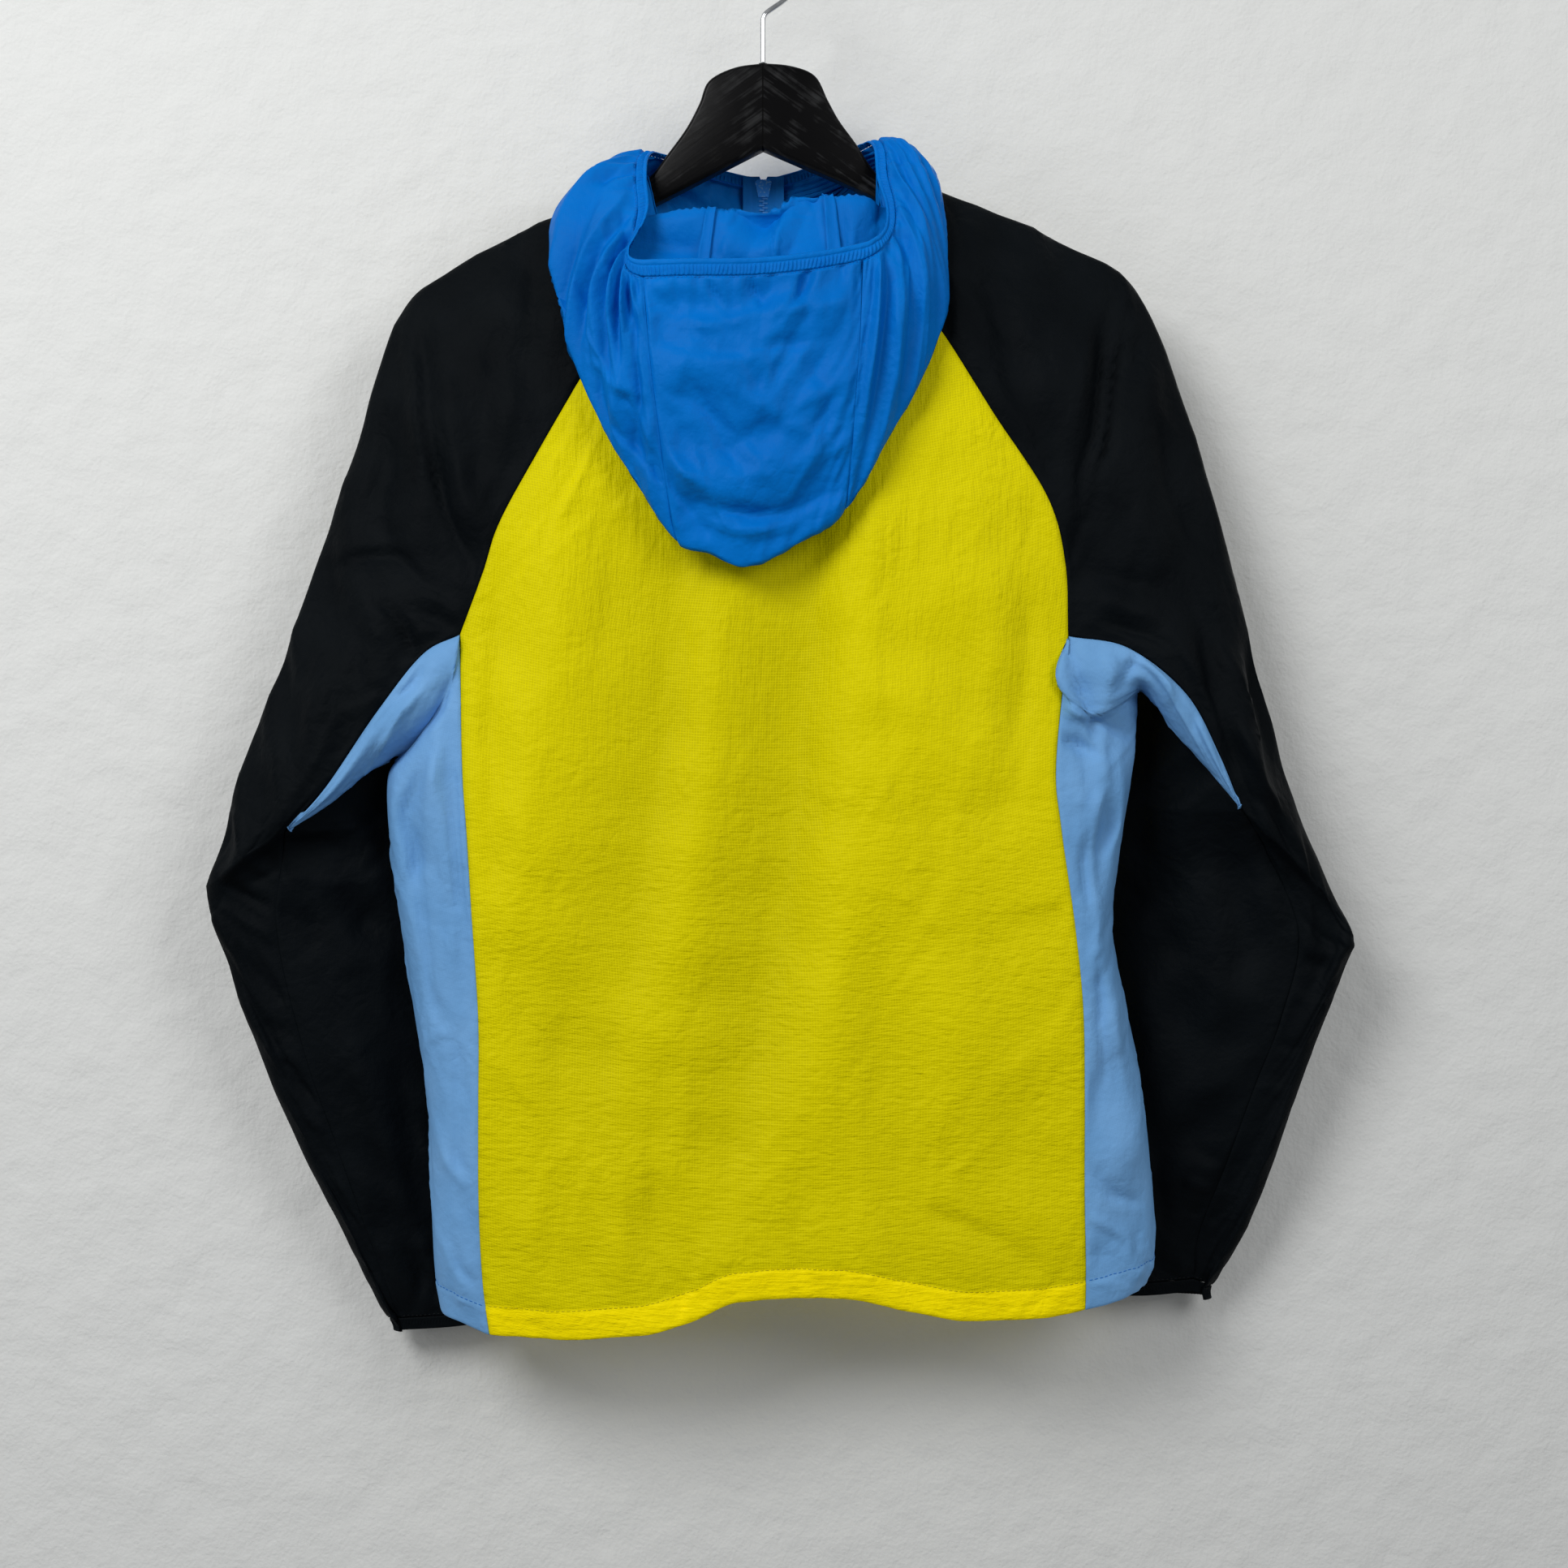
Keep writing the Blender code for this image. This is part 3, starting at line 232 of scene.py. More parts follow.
# Upper edge of each half of the hanger from the middle out, then its lower edge back: x, z.
HANGER_OUTLINE = {
    "left": ([(-0.5, -84.5), (-17, -87), (-33, -95), (-39, -109), (-47, -124), (-58, -139),
              (-70, -154), (-88, -165.5), (-108, -174.5), (-150, -193), (-190, -215), (-211, -229),
              (-217, -236)],
             [(-216, -242), (-209, -245), (-190, -234), (-150, -211), (-67, -170.5),
              (-0.5, -136)]),
    "right": ([(0.5, -84.5), (17, -86), (32, -92), (40, -107), (47, -119.5), (57, -133),
               (69, -150.5), (82, -158.5), (95, -164), (136, -177.5), (191, -202), (214, -216), (221, -223)],
              [(220, -229), (214, -232), (191, -219), (136, -195), (69, -166), (0.5, -136)]),
}
ARM_SWEEP = 0.05
WOOD = 12.0
ROUNDING = 2.6
HOOK_STEM = [(0, -84.1), (0, -70), (0, -58), (0.8, -54.2), (3.6, -51.2), (12.5, -45),
             (17.8, -40), (20.7, -33.5)]        # x, z, from the wood up to the ring

# Creases, each a line in x and z, its half width, its height and its lean.
TORSO_CREASES = [
    (((-116, -641), (-122, -705), (-130, -758)), 16, -2.6, 0.2),
    (((-160, -427), (-163, -486), (-162, -544), (-164, -598)), 9, -2.8, 0.3),
    (((-146, -456), (-141, -525), (-146, -602)), 14, 2.2, 0),
    (((157, -398), (161, -447), (155, -495), (146, -549)), 10, -3, -0.2),
    (((139, -408), (134, -476), (122, -544)), 15, 2.2, 0),
    (((76, -593), (71, -651), (74, -705), (83, -763)), 20, -2.6, 0.1),
    (((49, -602), (44, -671), (30, -739)), 16, 2, 0),
    (((157, -705), (151, -739), (139, -778)), 22, -2.6, 0),
    (((117, -632), (115, -690), (103, -748)), 20, 2.2, 0),
    (((-104, -775), (-106, -797), (-102, -821)), 13, -2.2, 0),
    (((-64, -758), (-67, -787), (-64, -816)), 10, -2.4, 0.2),
    (((22, -753), (25, -775), (20, -802)), 12, -1.8, 0),
    (((93, -778), (127, -795), (168, -817)), 9, -2.2, -0.3),
    (((-141, -739), (-138, -778), (-143, -826)), 12, 1.8, 0),
    (((-85, -758), (-85, -792), (-82, -831)), 10, 1.8, 0),
    (((-29, -753), (-24, -787), (-17, -816)), 14, 1.6, 0),
    (((59, -768), (68, -797), (71, -821)), 14, 1.7, 0),
    (((-60, -379), (-39, -427), (-29, -476)), 14, 1.5, 0.2),
    (((88, -369), (81, -427), (83, -486)), 18, -1.8, 0.1),
    (((59, -369), (54, -427), (59, -495)), 18, 1.8, 0.1),
    (((-116, -369), (-121, -427), (-116, -495)), 16, 1.5, 0),
    (((-95, -359), (-92, -408), (-98, -466)), 12, -1.5, 0.2),
    (((-165, -632), (-146, -661), (-136, -705)), 10, -1.6, 0.2),
    (((-166, -690), (-141, -714), (-121, -748)), 9, 1.3, 0.2),
    (((190, -656), (168, -685), (141, -705)), 9, 1.6, 0.3),
    (((192, -588), (171, -607), (146, -612)), 9, -1.4, 0.2),
    (((98, -515), (103, -568), (95, -627)), 14, -1.6, 0),
    (((-39, -685), (-48, -724), (-53, -763)), 12, 1.8, 0.2),
    (((-87, -632), (-82, -685), (-87, -729)), 14, 1.7, 0),
    (((-208, -525), (-210, -573), (-204, -622), (-197, -671)), 5, -2.2, 0.2),
    (((-195, -510), (-192, -563), (-188, -617), (-184, -666)), 6, 1.6, 0.2),
    (((-187, -671), (-184, -719), (-186, -768)), 6, -1.4, 0.2),
    (((-199, -729), (-192, -753), (-177, -773)), 5, 1.3, 0),
    (((-190, -797), (-184, -816), (-172, -831)), 5, -1.5, 0.2),
    (((192, -498), (195, -539), (194, -583), (197, -607)), 5, -2.4, 0.2),
    (((206, -495), (204, -534), (200, -573)), 5, 1.8, 0),
    (((200, -639), (204, -671), (206, -707)), 5, -2.2, 0.2),
    (((213, -656), (217, -690), (220, -719)), 5, 1.5, 0),
    (((197, -759), (210, -773), (230, -782)), 5, -1.8, 0.2),
    (((198, -787), (212, -797), (229, -816)), 5, 1.6, 0.2),
    (((200, -809), (210, -821), (222, -829)), 4, -1.4, 0.2),
    (((207, -602), (200, -622), (197, -641)), 5, 1.4, 0),
]
ARM_CREASES = [
    (((-208, -249), (-204, -296), (-197, -346), (-185, -381), (-173, -408)), 4.5, -3.4, 0.35),
    (((-196, -247), (-191, -296), (-181, -346), (-169, -381)), 7, 1.8, 0.2),
    (((-218, -259), (-212, -286), (-208, -316), (-210, -351)), 8, 3.4, 0.3),
    (((-222, -294), (-229, -331), (-230, -366), (-222, -398)), 10, -3.6, -0.3),
    (((-241, -306), (-248, -346), (-252, -386)), 9, 2, 0),
    (((-270, -396), (-243, -390), (-222, -391), (-202, -411)), 4, -2.6, 0.4),
    (((-263, -390), (-241, -382), (-218, -384)), 5, 1.8, 0.2),
    (((-233, -416), (-222, -426), (-214, -440), (-208, -451)), 4, -3.2, 0.3),
    (((-243, -430), (-230, -445), (-223, -460)), 4, 1.8, 0.3),
    (((-222, -416), (-203, -426), (-186, -435)), 3.2, -2, 0.3),
    (((-213, -408), (-196, -418), (-184, -429)), 3.2, 1.6, 0.3),
    (((-253, -415), (-246, -440), (-248, -470)), 6, -1.8, 0.2),
    (((-270, -440), (-268, -475), (-275, -510)), 8, 1.8, 0.1),
    (((-244, -466), (-231, -470), (-218, -476)), 3, -1.4, 0.2),
    (((-293, -485), (-292, -515), (-303, -549)), 7, -1.6, 0.2),
    (((-258, -485), (-268, -510), (-285, -534)), 5, 1.6, 0.2),
    (((-165, -326), (-169, -351), (-179, -373)), 3, 1.1, 0.2),
    (((-154, -326), (-158, -348), (-166, -366)), 2.6, -1, 0.2),
    (((-149, -286), (-154, -316), (-161, -341)), 3.4, 1.1, 0.2),
    (((-169, -256), (-166, -286), (-171, -316)), 6, -1.2, 0.2),
    (((-149, -217), (-169, -232), (-189, -256)), 8, 1.4, 0.2),
    (((-139, -212), (-141, -247), (-151, -276)), 7, -1.6, 0.2),
    (((-325, -549), (-318, -574), (-295, -589)), 4, 1.8, 0.3),
    (((-335, -589), (-318, -599), (-295, -609)), 3.4, -2, 0.3),
    (((-334, -604), (-313, -619), (-292, -629)), 4, 1.6, 0.3),
    (((-318, -587), (-298, -582), (-282, -599)), 3.4, -1.6, 0.2),
    (((-282, -587), (-278, -609), (-281, -631)), 3.2, -1.6, 0.2),
    (((-323, -639), (-308, -651), (-293, -668)), 4, -1.6, 0.2),
    (((-312, -676), (-298, -681), (-282, -691)), 3, -2.2, 0.3),
    (((-310, -693), (-295, -696), (-275, -708)), 3.4, 1.8, 0.3),
    (((-300, -708), (-285, -716), (-269, -731)), 3.2, -1.5, 0.3),
    (((-290, -731), (-275, -740), (-262, -755)), 3.4, 1.5, 0.3),
    (((-280, -753), (-267, -763), (-256, -775)), 3, -1.5, 0.3),
    (((-269, -775), (-256, -785), (-246, -798)), 3.2, 1.4, 0.3),
    (((-258, -798), (-246, -805), (-237, -815)), 3, -1.4, 0.3),
    (((-248, -816), (-238, -823), (-229, -832)), 3, 1.3, 0.3),
    (((-223, -818), (-216, -837), (-218, -855)), 5, -2.2, 0.2),
    (((-206, -812), (-203, -837), (-208, -855)), 4, -1.8, 0.2),
    (((-268, -554), (-253, -604), (-243, -664)), 9, -1.8, 0.2),
    (((-248, -549), (-238, -594), (-233, -644)), 8, 1.8, 0.2),
    (((-263, -668), (-248, -718), (-233, -768)), 8, 1.6, 0.2),
    (((-233, -683), (-223, -743), (-213, -793)), 9, -1.8, 0.2),
    (((-218, -708), (-211, -753), (-203, -798)), 7, 1.4, 0.2),
    (((215, -228), (210, -261), (204, -296), (196, -341), (189, -388)), 5, -4.2, -0.3),
    (((223, -236), (218, -261), (213, -296), (204, -333), (196, -368)), 4.5, -3.4, 0.3),
    (((219, -247), (212, -276), (206, -311), (198, -346)), 3.4, 2.4, 0),
    (((201, -237), (194, -276), (184, -326)), 8, 2.2, 0.2),
    (((231, -247), (229, -266), (226, -287)), 4, -2.2, 0.2),
    (((238, -266), (240, -296), (248, -326)), 8, 2, 0.2),
    (((228, -299), (238, -304), (247, -319), (248, -333)), 4, -2.6, 0.3),
    (((241, -319), (254, -356), (266, -378), (275, -398)), 7, -2.8, 0.3),
    (((228, -326), (233, -366), (243, -405)), 10, 2.2, 0.2),
    (((267, -387), (278, -430), (288, -470), (295, -506), (309, -530), (321, -549), (339, -580)), 6, 3.6, 0.3),
    (((259, -405), (267, -445), (278, -485), (288, -520)), 7, -2.4, 0.3),
    (((293, -425), (303, -475), (315, -520)), 7, -2, 0.2),
    (((300, -534), (318, -559), (337, -588)), 5, -2.4, 0.3),
    (((196, -398), (214, -405), (238, -406)), 6, -1.5, 0.2),
    (((191, -413), (214, -421), (243, -425)), 7, 1.6, 0.2),
    (((201, -430), (226, -436), (248, -445)), 4, -1.6, 0.3),
    (((268, -466), (275, -476), (278, -490)), 3.4, -1.8, 0.3),
    (((243, -435), (259, -455), (267, -470)), 5, 1.6, 0.2),
    (((286, -450), (298, -485), (308, -520)), 4, 1.5, 0.2),
    (((334, -609), (344, -619), (355, -626)), 3, -2, 0.3),
    (((328, -621), (340, -629), (355, -634)), 3, 1.6, 0.3),
    (((331, -636), (340, -640), (352, -645)), 2.8, -1.5, 0.3),
    (((323, -656), (334, -661), (343, -668)), 3, 1.2, 0.3),
    (((313, -688), (323, -691), (334, -693)), 3, -1.3, 0.3),
    (((303, -718), (314, -719), (324, -723)), 3, 1.2, 0.3),
    (((268, -755), (281, -763), (298, -768)), 3.4, -1.6, 0.3),
    (((263, -773), (278, -782), (293, -788)), 3.2, 1.4, 0.3),
    (((263, -793), (276, -799), (288, -805)), 3, -1.4, 0.3),
    (((248, -815), (253, -830), (251, -840)), 4, -1.8, 0.2),
    (((263, -817), (265, -830), (262, -840)), 3.4, 1.4, 0.2),
    (((236, -822), (238, -832), (236, -842)), 3.4, 1.4, 0.2),
    (((253, -604), (263, -654), (258, -713)), 10, -2, 0.2),
    (((278, -589), (283, -639), (273, -698)), 9, 2, 0.2),
    (((298, -589), (300, -624), (293, -659)), 7, -1.6, 0.2),
    (((233, -634), (241, -688), (243, -743)), 9, 1.8, 0.2),
    (((243, -733), (248, -768), (253, -803)), 7, -1.6, 0.2),
    (((124, -184), (144, -197), (174, -212)), 8, 1.4, 0.2),
    (((129, -212), (144, -247), (154, -286)), 10, -1.6, 0.2),
    (((154, -227), (166, -266), (174, -316)), 10, 1.6, 0.2),
    (((137, -281), (154, -311), (169, -341)), 4, 1.2, 0.2),
]
HOOD_CREASES = [
    (((-70, -253), (-38, -257), (-4, -253), (29, -248), (54, -244)), 9, 2.2, 0.2),
    (((-66, -269), (-28, -275), (10, -271), (48, -263)), 8, -1.8, 0.2),
    (((-33, -227), (-29, -236), (-23, -247)), 3, -1.8, 0.2),
    (((-7, -228), (-2, -239), (4, -251)), 3.4, -2, 0.2),
    (((22, -227), (21, -239), (16, -249)), 3, -1.6, 0.2),
    (((-52, -227), (-51, -238), (-46, -247)), 3, -1.4, 0.2),
    (((-95, -305), (-81, -322), (-57, -334)), 5, -1.8, 0.3),
    (((-105, -276), (-90, -290), (-66, -300)), 7, 1.6, 0.2),
    (((-76, -324), (-56, -348), (-32, -382)), 5, -2.2, 0.3),
    (((-66, -314), (-45, -343), (-19, -372)), 6, 2, 0.2),
    (((54, -228), (59, -257), (55, -286), (58, -324)), 4, -1.8, 0.3),
    (((77, -233), (81, -267), (75, -305), (64, -338)), 5, 1.8, 0.2),
    (((89, -224), (91, -257), (83, -290)), 6, -1.6, 0.2),
    (((-52, -358), (-19, -367), (15, -365), (48, -354)), 5, -1.8, 0.2),
    (((-42, -372), (-9, -379), (24, -374)), 4, 1.6, 0.2),
    (((-19, -295), (10, -314), (34, -324)), 9, 1.5, 0.2),
    (((-42, -290), (-23, -324), (-4, -353)), 8, -1.4, 0.2),
    (((29, -276), (39, -305), (34, -338)), 7, -1.4, 0.2),
    (((-114, -209), (-108, -238), (-97, -271)), 6, -1.6, 0.2),
    (((-97, -190), (-94, -219), (-85, -252)), 8, 1.8, 0.2),
    (((-83, -185), (-82, -209), (-77, -233)), 5, -1.4, 0.2),
    (((82, -181), (86, -209), (82, -233)), 6, -1.4, 0.2),
    (((94, -190), (97, -219), (95, -247)), 6, 1.4, 0.2),
    (((-95, -173), (-105, -191), (-114, -209)), 5, 1.2, 0.2),
]
# The widest folds of the back, of the same kind.
BROAD_CREASES = [
    (((32, -320), (27, -395), (22, -487), (12, -593), (-7, -686), (-33, -790)), 42, -17.0, -0.45),
    (((-54, -330), (-52, -408), (-61, -500), (-80, -620), (-105, -740)), 36, -12.0, -0.4),
    (((-120, -370), (-130, -480), (-150, -640)), 30, 3.6, 0),
    (((-22, -380), (-32, -520), (-60, -700)), 26, 3.6, 0),
    (((74, -350), (78, -480), (66, -620)), 44, 3.0, 0),
    (((132, -400), (128, -520), (140, -660)), 26, -2.8, 0.2),
    (((90, -640), (96, -720), (80, -800)), 36, -2.6, 0.1),
]
# The crisp folds that run together under each arm.
GUSSET_CREASES = [
    (((185, -440), (190, -462), (198, -488), (204, -505)), 4.5, -4.2, 0.3),
    (((164, -478), (181, -482), (198, -488), (215, -480), (230, -471)), 4.0, 3.6, 0.3),
    (((175, -498), (185, -502), (196, -507), (208, -512)), 4.0, -3.4, 0.2),
    (((198, -488), (212, -494), (227, -501)), 4.0, -3.0, 0.3),
    (((206, -446), (210, -460), (208, -478)), 4.0, 3.0, 0.2),
    (((226, -444), (222, -458), (212, -472)), 4.0, -2.6, 0.2),
    (((240, -450), (246, -466), (244, -480)), 4.0, 2.2, 0.2),
    (((258, -468), (262, -482), (260, -496)), 4.0, -2.0, 0.2),
    (((188, -512), (192, -540), (190, -574)), 5.0, 2.6, 0.2),
    (((204, -520), (206, -556), (203, -596)), 5.0, -2.6, 0.2),
    (((218, -512), (217, -548), (211, -590)), 4.5, 2.2, 0.2),
    (((-187, -447), (-179, -440), (-176, -452), (-178, -470), (-184, -491)), 3.6, 3.4, 0.3),
    (((-219, -512), (-207, -498), (-196, -481), (-188, -462)), 4.5, -4.0, 0.3),
    (((-232, -508), (-222, -492), (-208, -474)), 4.5, 3.2, 0.3),
    (((-204, -455), (-214, -468), (-228, -482)), 4.0, -2.6, 0.2),
    (((-238, -490), (-248, -502), (-256, -516)), 4.0, 2.4, 0.2),
    (((-196, -500), (-200, -530), (-199, -566)), 5.0, 2.8, 0.2),
    (((-208, -518), (-214, -548), (-212, -590)), 5.0, -2.8, 0.2),
    (((-222, -524), (-226, -560), (-220, -600)), 4.5, 2.2, 0.2),
    (((-186, -520), (-186, -560), (-182, -610)), 4.0, -2.0, 0.2),
]
# Creases on the hidden front of the body, of the same kind: line, half width, height, lean.
FRONT_CREASES = [
    (((-90, -300), (-112, -440), (-100, -600), (-122, -790)), 18, -3.6, 0.2),
    (((-48, -260), (-60, -420), (-44, -620), (-60, -780)), 20, 3.0, 0),
    (((-20, -330), (-24, -470), (-16, -610)), 9, -1.8, 0.3),
    (((-140, -380), (-150, -500), (-135, -640)), 12, -2.4, 0.2),
    (((-170, -460), (-165, -600), (-150, -720)), 12, 2.0, 0),
    (((-120, -700), (-80, -760), (-40, -820)), 12, -1.8, 0.2),
    (((-30, -220), (-60, -290), (-70, -380)), 9, 1.6, 0.2),
    (((-170, -780), (-120, -800), (-80, -846)), 10, 1.6, 0.2),
    (((78, -300), (104, -470), (90, -660), (116, -800)), 18, -3.8, -0.2),
    (((44, -340), (60, -520), (50, -760)), 18, 3.0, 0),
    (((24, -420), (28, -560), (24, -720)), 9, -1.7, 0.2),
    (((140, -360), (152, -500), (140, -640)), 13, 2.4, 0),
    (((168, -470), (170, -600), (160, -740)), 11, -2.2, 0.2),
    (((120, -690), (150, -760), (186, -830)), 10, -2.0, 0.2),
    (((34, -230), (66, -300), (80, -370)), 9, 1.5, 0.2),
    (((60, -780), (90, -810), (120, -840)), 10, 1.5, 0.2),
]
# Creases on the hidden front and inner side of the sleeves.
ARM_FRONT_CREASES = [
    (((-110, -200), (-150, -260), (-180, -340)), 9, -2.6, 0.2),
    (((-170, -230), (-200, -330), (-215, -430)), 11, 2.6, 0),
    (((-225, -300), (-240, -400), (-262, -500)), 9, -2.8, 0.2),
    (((-190, -440), (-225, -450), (-255, -440)), 6, -2.2, 0.3),
    (((-200, -470), (-240, -490), (-280, -500)), 6, 1.8, 0.3),
    (((-215, -540), (-265, -560), (-320, -580)), 6, -2.8, 0.3),
    (((-220, -575), (-270, -590), (-325, -600)), 6, 2.4, 0.3),
    (((-215, -610), (-265, -625), (-310, -630)), 5, -2.0, 0.3),
    (((-200, -640), (-230, -720), (-225, -800)), 9, 2.2, 0.1),
    (((-250, -650), (-260, -720), (-240, -790)), 9, -2.0, 0.1),
    (((-180, -700), (-190, -770), (-195, -840)), 7, -1.8, 0.2),
    (((108, -190), (150, -250), (180, -330)), 9, -2.6, 0.2),
    (((172, -215), (205, -320), (222, -420)), 11, 2.6, 0),
    (((232, -280), (250, -390), (275, -490)), 9, -2.8, 0.2),
    (((196, -430), (232, -445), (262, -432)), 6, -2.2, 0.3),
    (((225, -530), (280, -560), (335, -585)), 6, -2.8, 0.3),
    (((225, -570), (280, -600), (345, -620)), 6, 2.4, 0.3),
    (((222, -610), (275, -640), (330, -655)), 5, -2.0, 0.3),
    (((225, -650), (255, -720), (255, -790)), 9, 2.2, 0.1),
    (((270, -650), (285, -720), (270, -780)), 9, -2.0, 0.1),
    (((205, -700), (215, -760), (225, -820)), 7, -1.8, 0.2),
]

YELLOW = "#E4D600"
YELLOW_DOUBLE = "#FFE700"
BLACK = "#15191B"
LIGHT_BLUE = "#6B9FD3"
BLUE = "#0A62C0"


# ---- curves ---------------------------------------------------------------------------------

def smooth(points, at):
    """Points of a smooth curve that passes points 0, 1, 2 ... at those numbers."""
    points = np.asarray(points, float)
    chords = np.diff(points, axis=0)
    lengths = np.linalg.norm(chords, axis=1)
    slopes = np.vstack([chords[:1], (chords[1:] + chords[:-1]) / 2, chords[-1:]])
    shortest = np.concatenate([lengths[:1], np.minimum(lengths[1:], lengths[:-1]), lengths[-1:]])
    sizes = np.maximum(np.linalg.norm(slopes, axis=1), 1e-9)
    slopes *= np.minimum(1.0, 1.5 * shortest / sizes)[:, None]
    at = np.asarray(at, float)
    index = np.clip(np.floor(at).astype(int), 0, len(points) - 2)
    t = (at - index)[:, None]
    start, end = points[index], points[index + 1]
    return (start * (2 * t**3 - 3 * t**2 + 1) + slopes[index] * (t**3 - 2 * t**2 + t)
            + end * (3 * t**2 - 2 * t**3) + slopes[index + 1] * (t**3 - t**2))


def travelled(line):
    """Length of a line up to each of its points."""
    return np.concatenate([[0], np.cumsum(np.linalg.norm(np.diff(line, axis=0), axis=1))])


def point_at(line, share):
    """The point at a share of the length of a line of straight stretches."""
    lengths = travelled(line)
    return np.array([np.interp(share * lengths[-1], lengths, line[:, axis]) for axis in range(3)])


def steps_over(spans, step, first_edge=True, last_edge=True):
    """Numbers along control points whose gaps are the spans, about a step apart in mm.

    They are closer together by an edge that is sewn.
    """
    at = [0.0]
    for number, span in enumerate(spans):
        count = max(1, round(span / step))
        at.extend(number + np.arange(1, count + 1) / count)
    extra = []
    if first_edge:
        extra += [mm / spans[0] for mm in EDGE_LINES]
    if last_edge:
        extra += [len(spans) - mm / spans[-1] for mm in EDGE_LINES]
    at = np.unique(np.round(np.concatenate([at, extra]), 5))
    keep = np.ones(len(at), bool)
    keep[1:-1] = (np.diff(at)[:-1] > 0.4 * min(1, EDGE_LINES[0] / max(spans)))
    return at[keep]


EDGE_LINES = (0.6, 1.3, 2.3)
STEP = 2.6


def loft(columns, step=STEP, ends=(SEAM, SEAM), edges=(True, True)):
    """Grid whose rows run smoothly across the columns."""
    table = np.stack(columns, axis=1)
    spans = np.linalg.norm(np.diff(table, axis=1), axis=2).mean(axis=0)
    at = steps_over(spans, step, *edges)
    grid = np.stack([smooth(row, at) for row in table])
    return draw_in_columns(grid, *ends)


def draw_in_columns(grid, start_gap, end_gap):
    """Keeps the first and last columns of a grid a gap off the seams that they lie on."""
    for gap, edge, inner in ((start_gap, 0, 1), (end_gap, -1, -2)):
        way = grid[:, inner] - grid[:, edge]
        size = np.maximum(np.linalg.norm(way, axis=1, keepdims=True), 1e-9)
        grid[:, edge] += way / size * gap
    return grid


def rows_between(first, last, millimetres, step=2.8, lines=()):
    """Row numbers between two stations, with extra rows at given distances before the last."""
    count = round(millimetres / step)
    at = np.linspace(first, last, count + 1)
    per_mm = (last - first) / millimetres
    extra = [last - distance * per_mm for distance in lines]
    return np.unique(np.round(np.concatenate([at, extra]), 5))


# ---- random and placed relief ----------------------------------------------------------------

def noise(u, v, seed):
    """Smooth noise from -1 to 1 with one swing for each unit of u and v."""
    table = np.random.default_rng(seed).uniform(-1, 1, (64, 64))
    u, v = np.broadcast_arrays(np.asarray(u, float), np.asarray(v, float))
    left, low = np.floor(u).astype(int), np.floor(v).astype(int)
    s, t = u - left, v - low
    s, t = s * s * (3 - 2 * s), t * t * (3 - 2 * t)

    def corner(i, j):
        return table[(left + i) % 64, (low + j) % 64]

    return ((corner(0, 0) * (1 - s) + corner(1, 0) * s) * (1 - t)
            + (corner(0, 1) * (1 - s) + corner(1, 1) * s) * t)


def crease_heights(flat, creases, seed=1, scale=1.0, narrow=1.0, uneven=0.35):
    """Height over points of the x, z plane of listed creases of uneven line and depth."""
    total = np.zeros(len(flat))
    sway = np.stack([noise(flat[:, 0] / 26, flat[:, 1] / 26, seed),
                     noise(flat[:, 0] / 26, flat[:, 1] / 26, seed + 1)], axis=1)
    warped = flat + 2.2 * sway
    unevenness = uneven * noise(flat[:, 0] / 18, flat[:, 1] / 18, seed + 2)
    for line, half_width, height, lean in creases:
        half_width = half_width * narrow
        depth = 1 + min(1, 8 / half_width) * unevenness
        route = smooth(line, np.linspace(0, len(line) - 1, 5 * (len(line) - 1) + 1))
        near = ((warped > route.min(axis=0) - 3.2 * half_width)
                & (warped < route.max(axis=0) + 3.2 * half_width)).all(axis=1)
        if not near.any():
            continue
        spots = warped[near][:, None]
        start, way = route[:-1], np.diff(route, axis=0)
        along = np.clip(((spots - start) * way).sum(axis=2) / (way**2).sum(axis=1), 0, 1)
        gap = spots - start - along[..., None] * way
        distance = np.linalg.norm(gap, axis=2)
        nearest = distance.argmin(axis=1)
        pick = np.arange(len(nearest))
        side = np.sign(way[nearest, 0] * gap[pick, nearest, 1]
                       - way[nearest, 1] * gap[pick, nearest, 0])
        share = (nearest + along[pick, nearest]) / len(way)
        ratio = distance[pick, nearest] / (half_width * (1 + lean * side))
        fade = np.sin(np.pi * (0.04 + 0.92 * share)) ** 0.7
        crisp = np.exp(-1.9 * (np.sqrt(ratio**2 + 0.06) - 0.245))
        sharp = min(0.6, max(0.3, 1.1 - half_width / 14))
        profile = (1 - sharp) * np.exp(-ratio**2) + sharp * crisp * np.exp(-0.12 * ratio**4)
        total[near] += scale * height * fade * profile * depth[near]
    return total


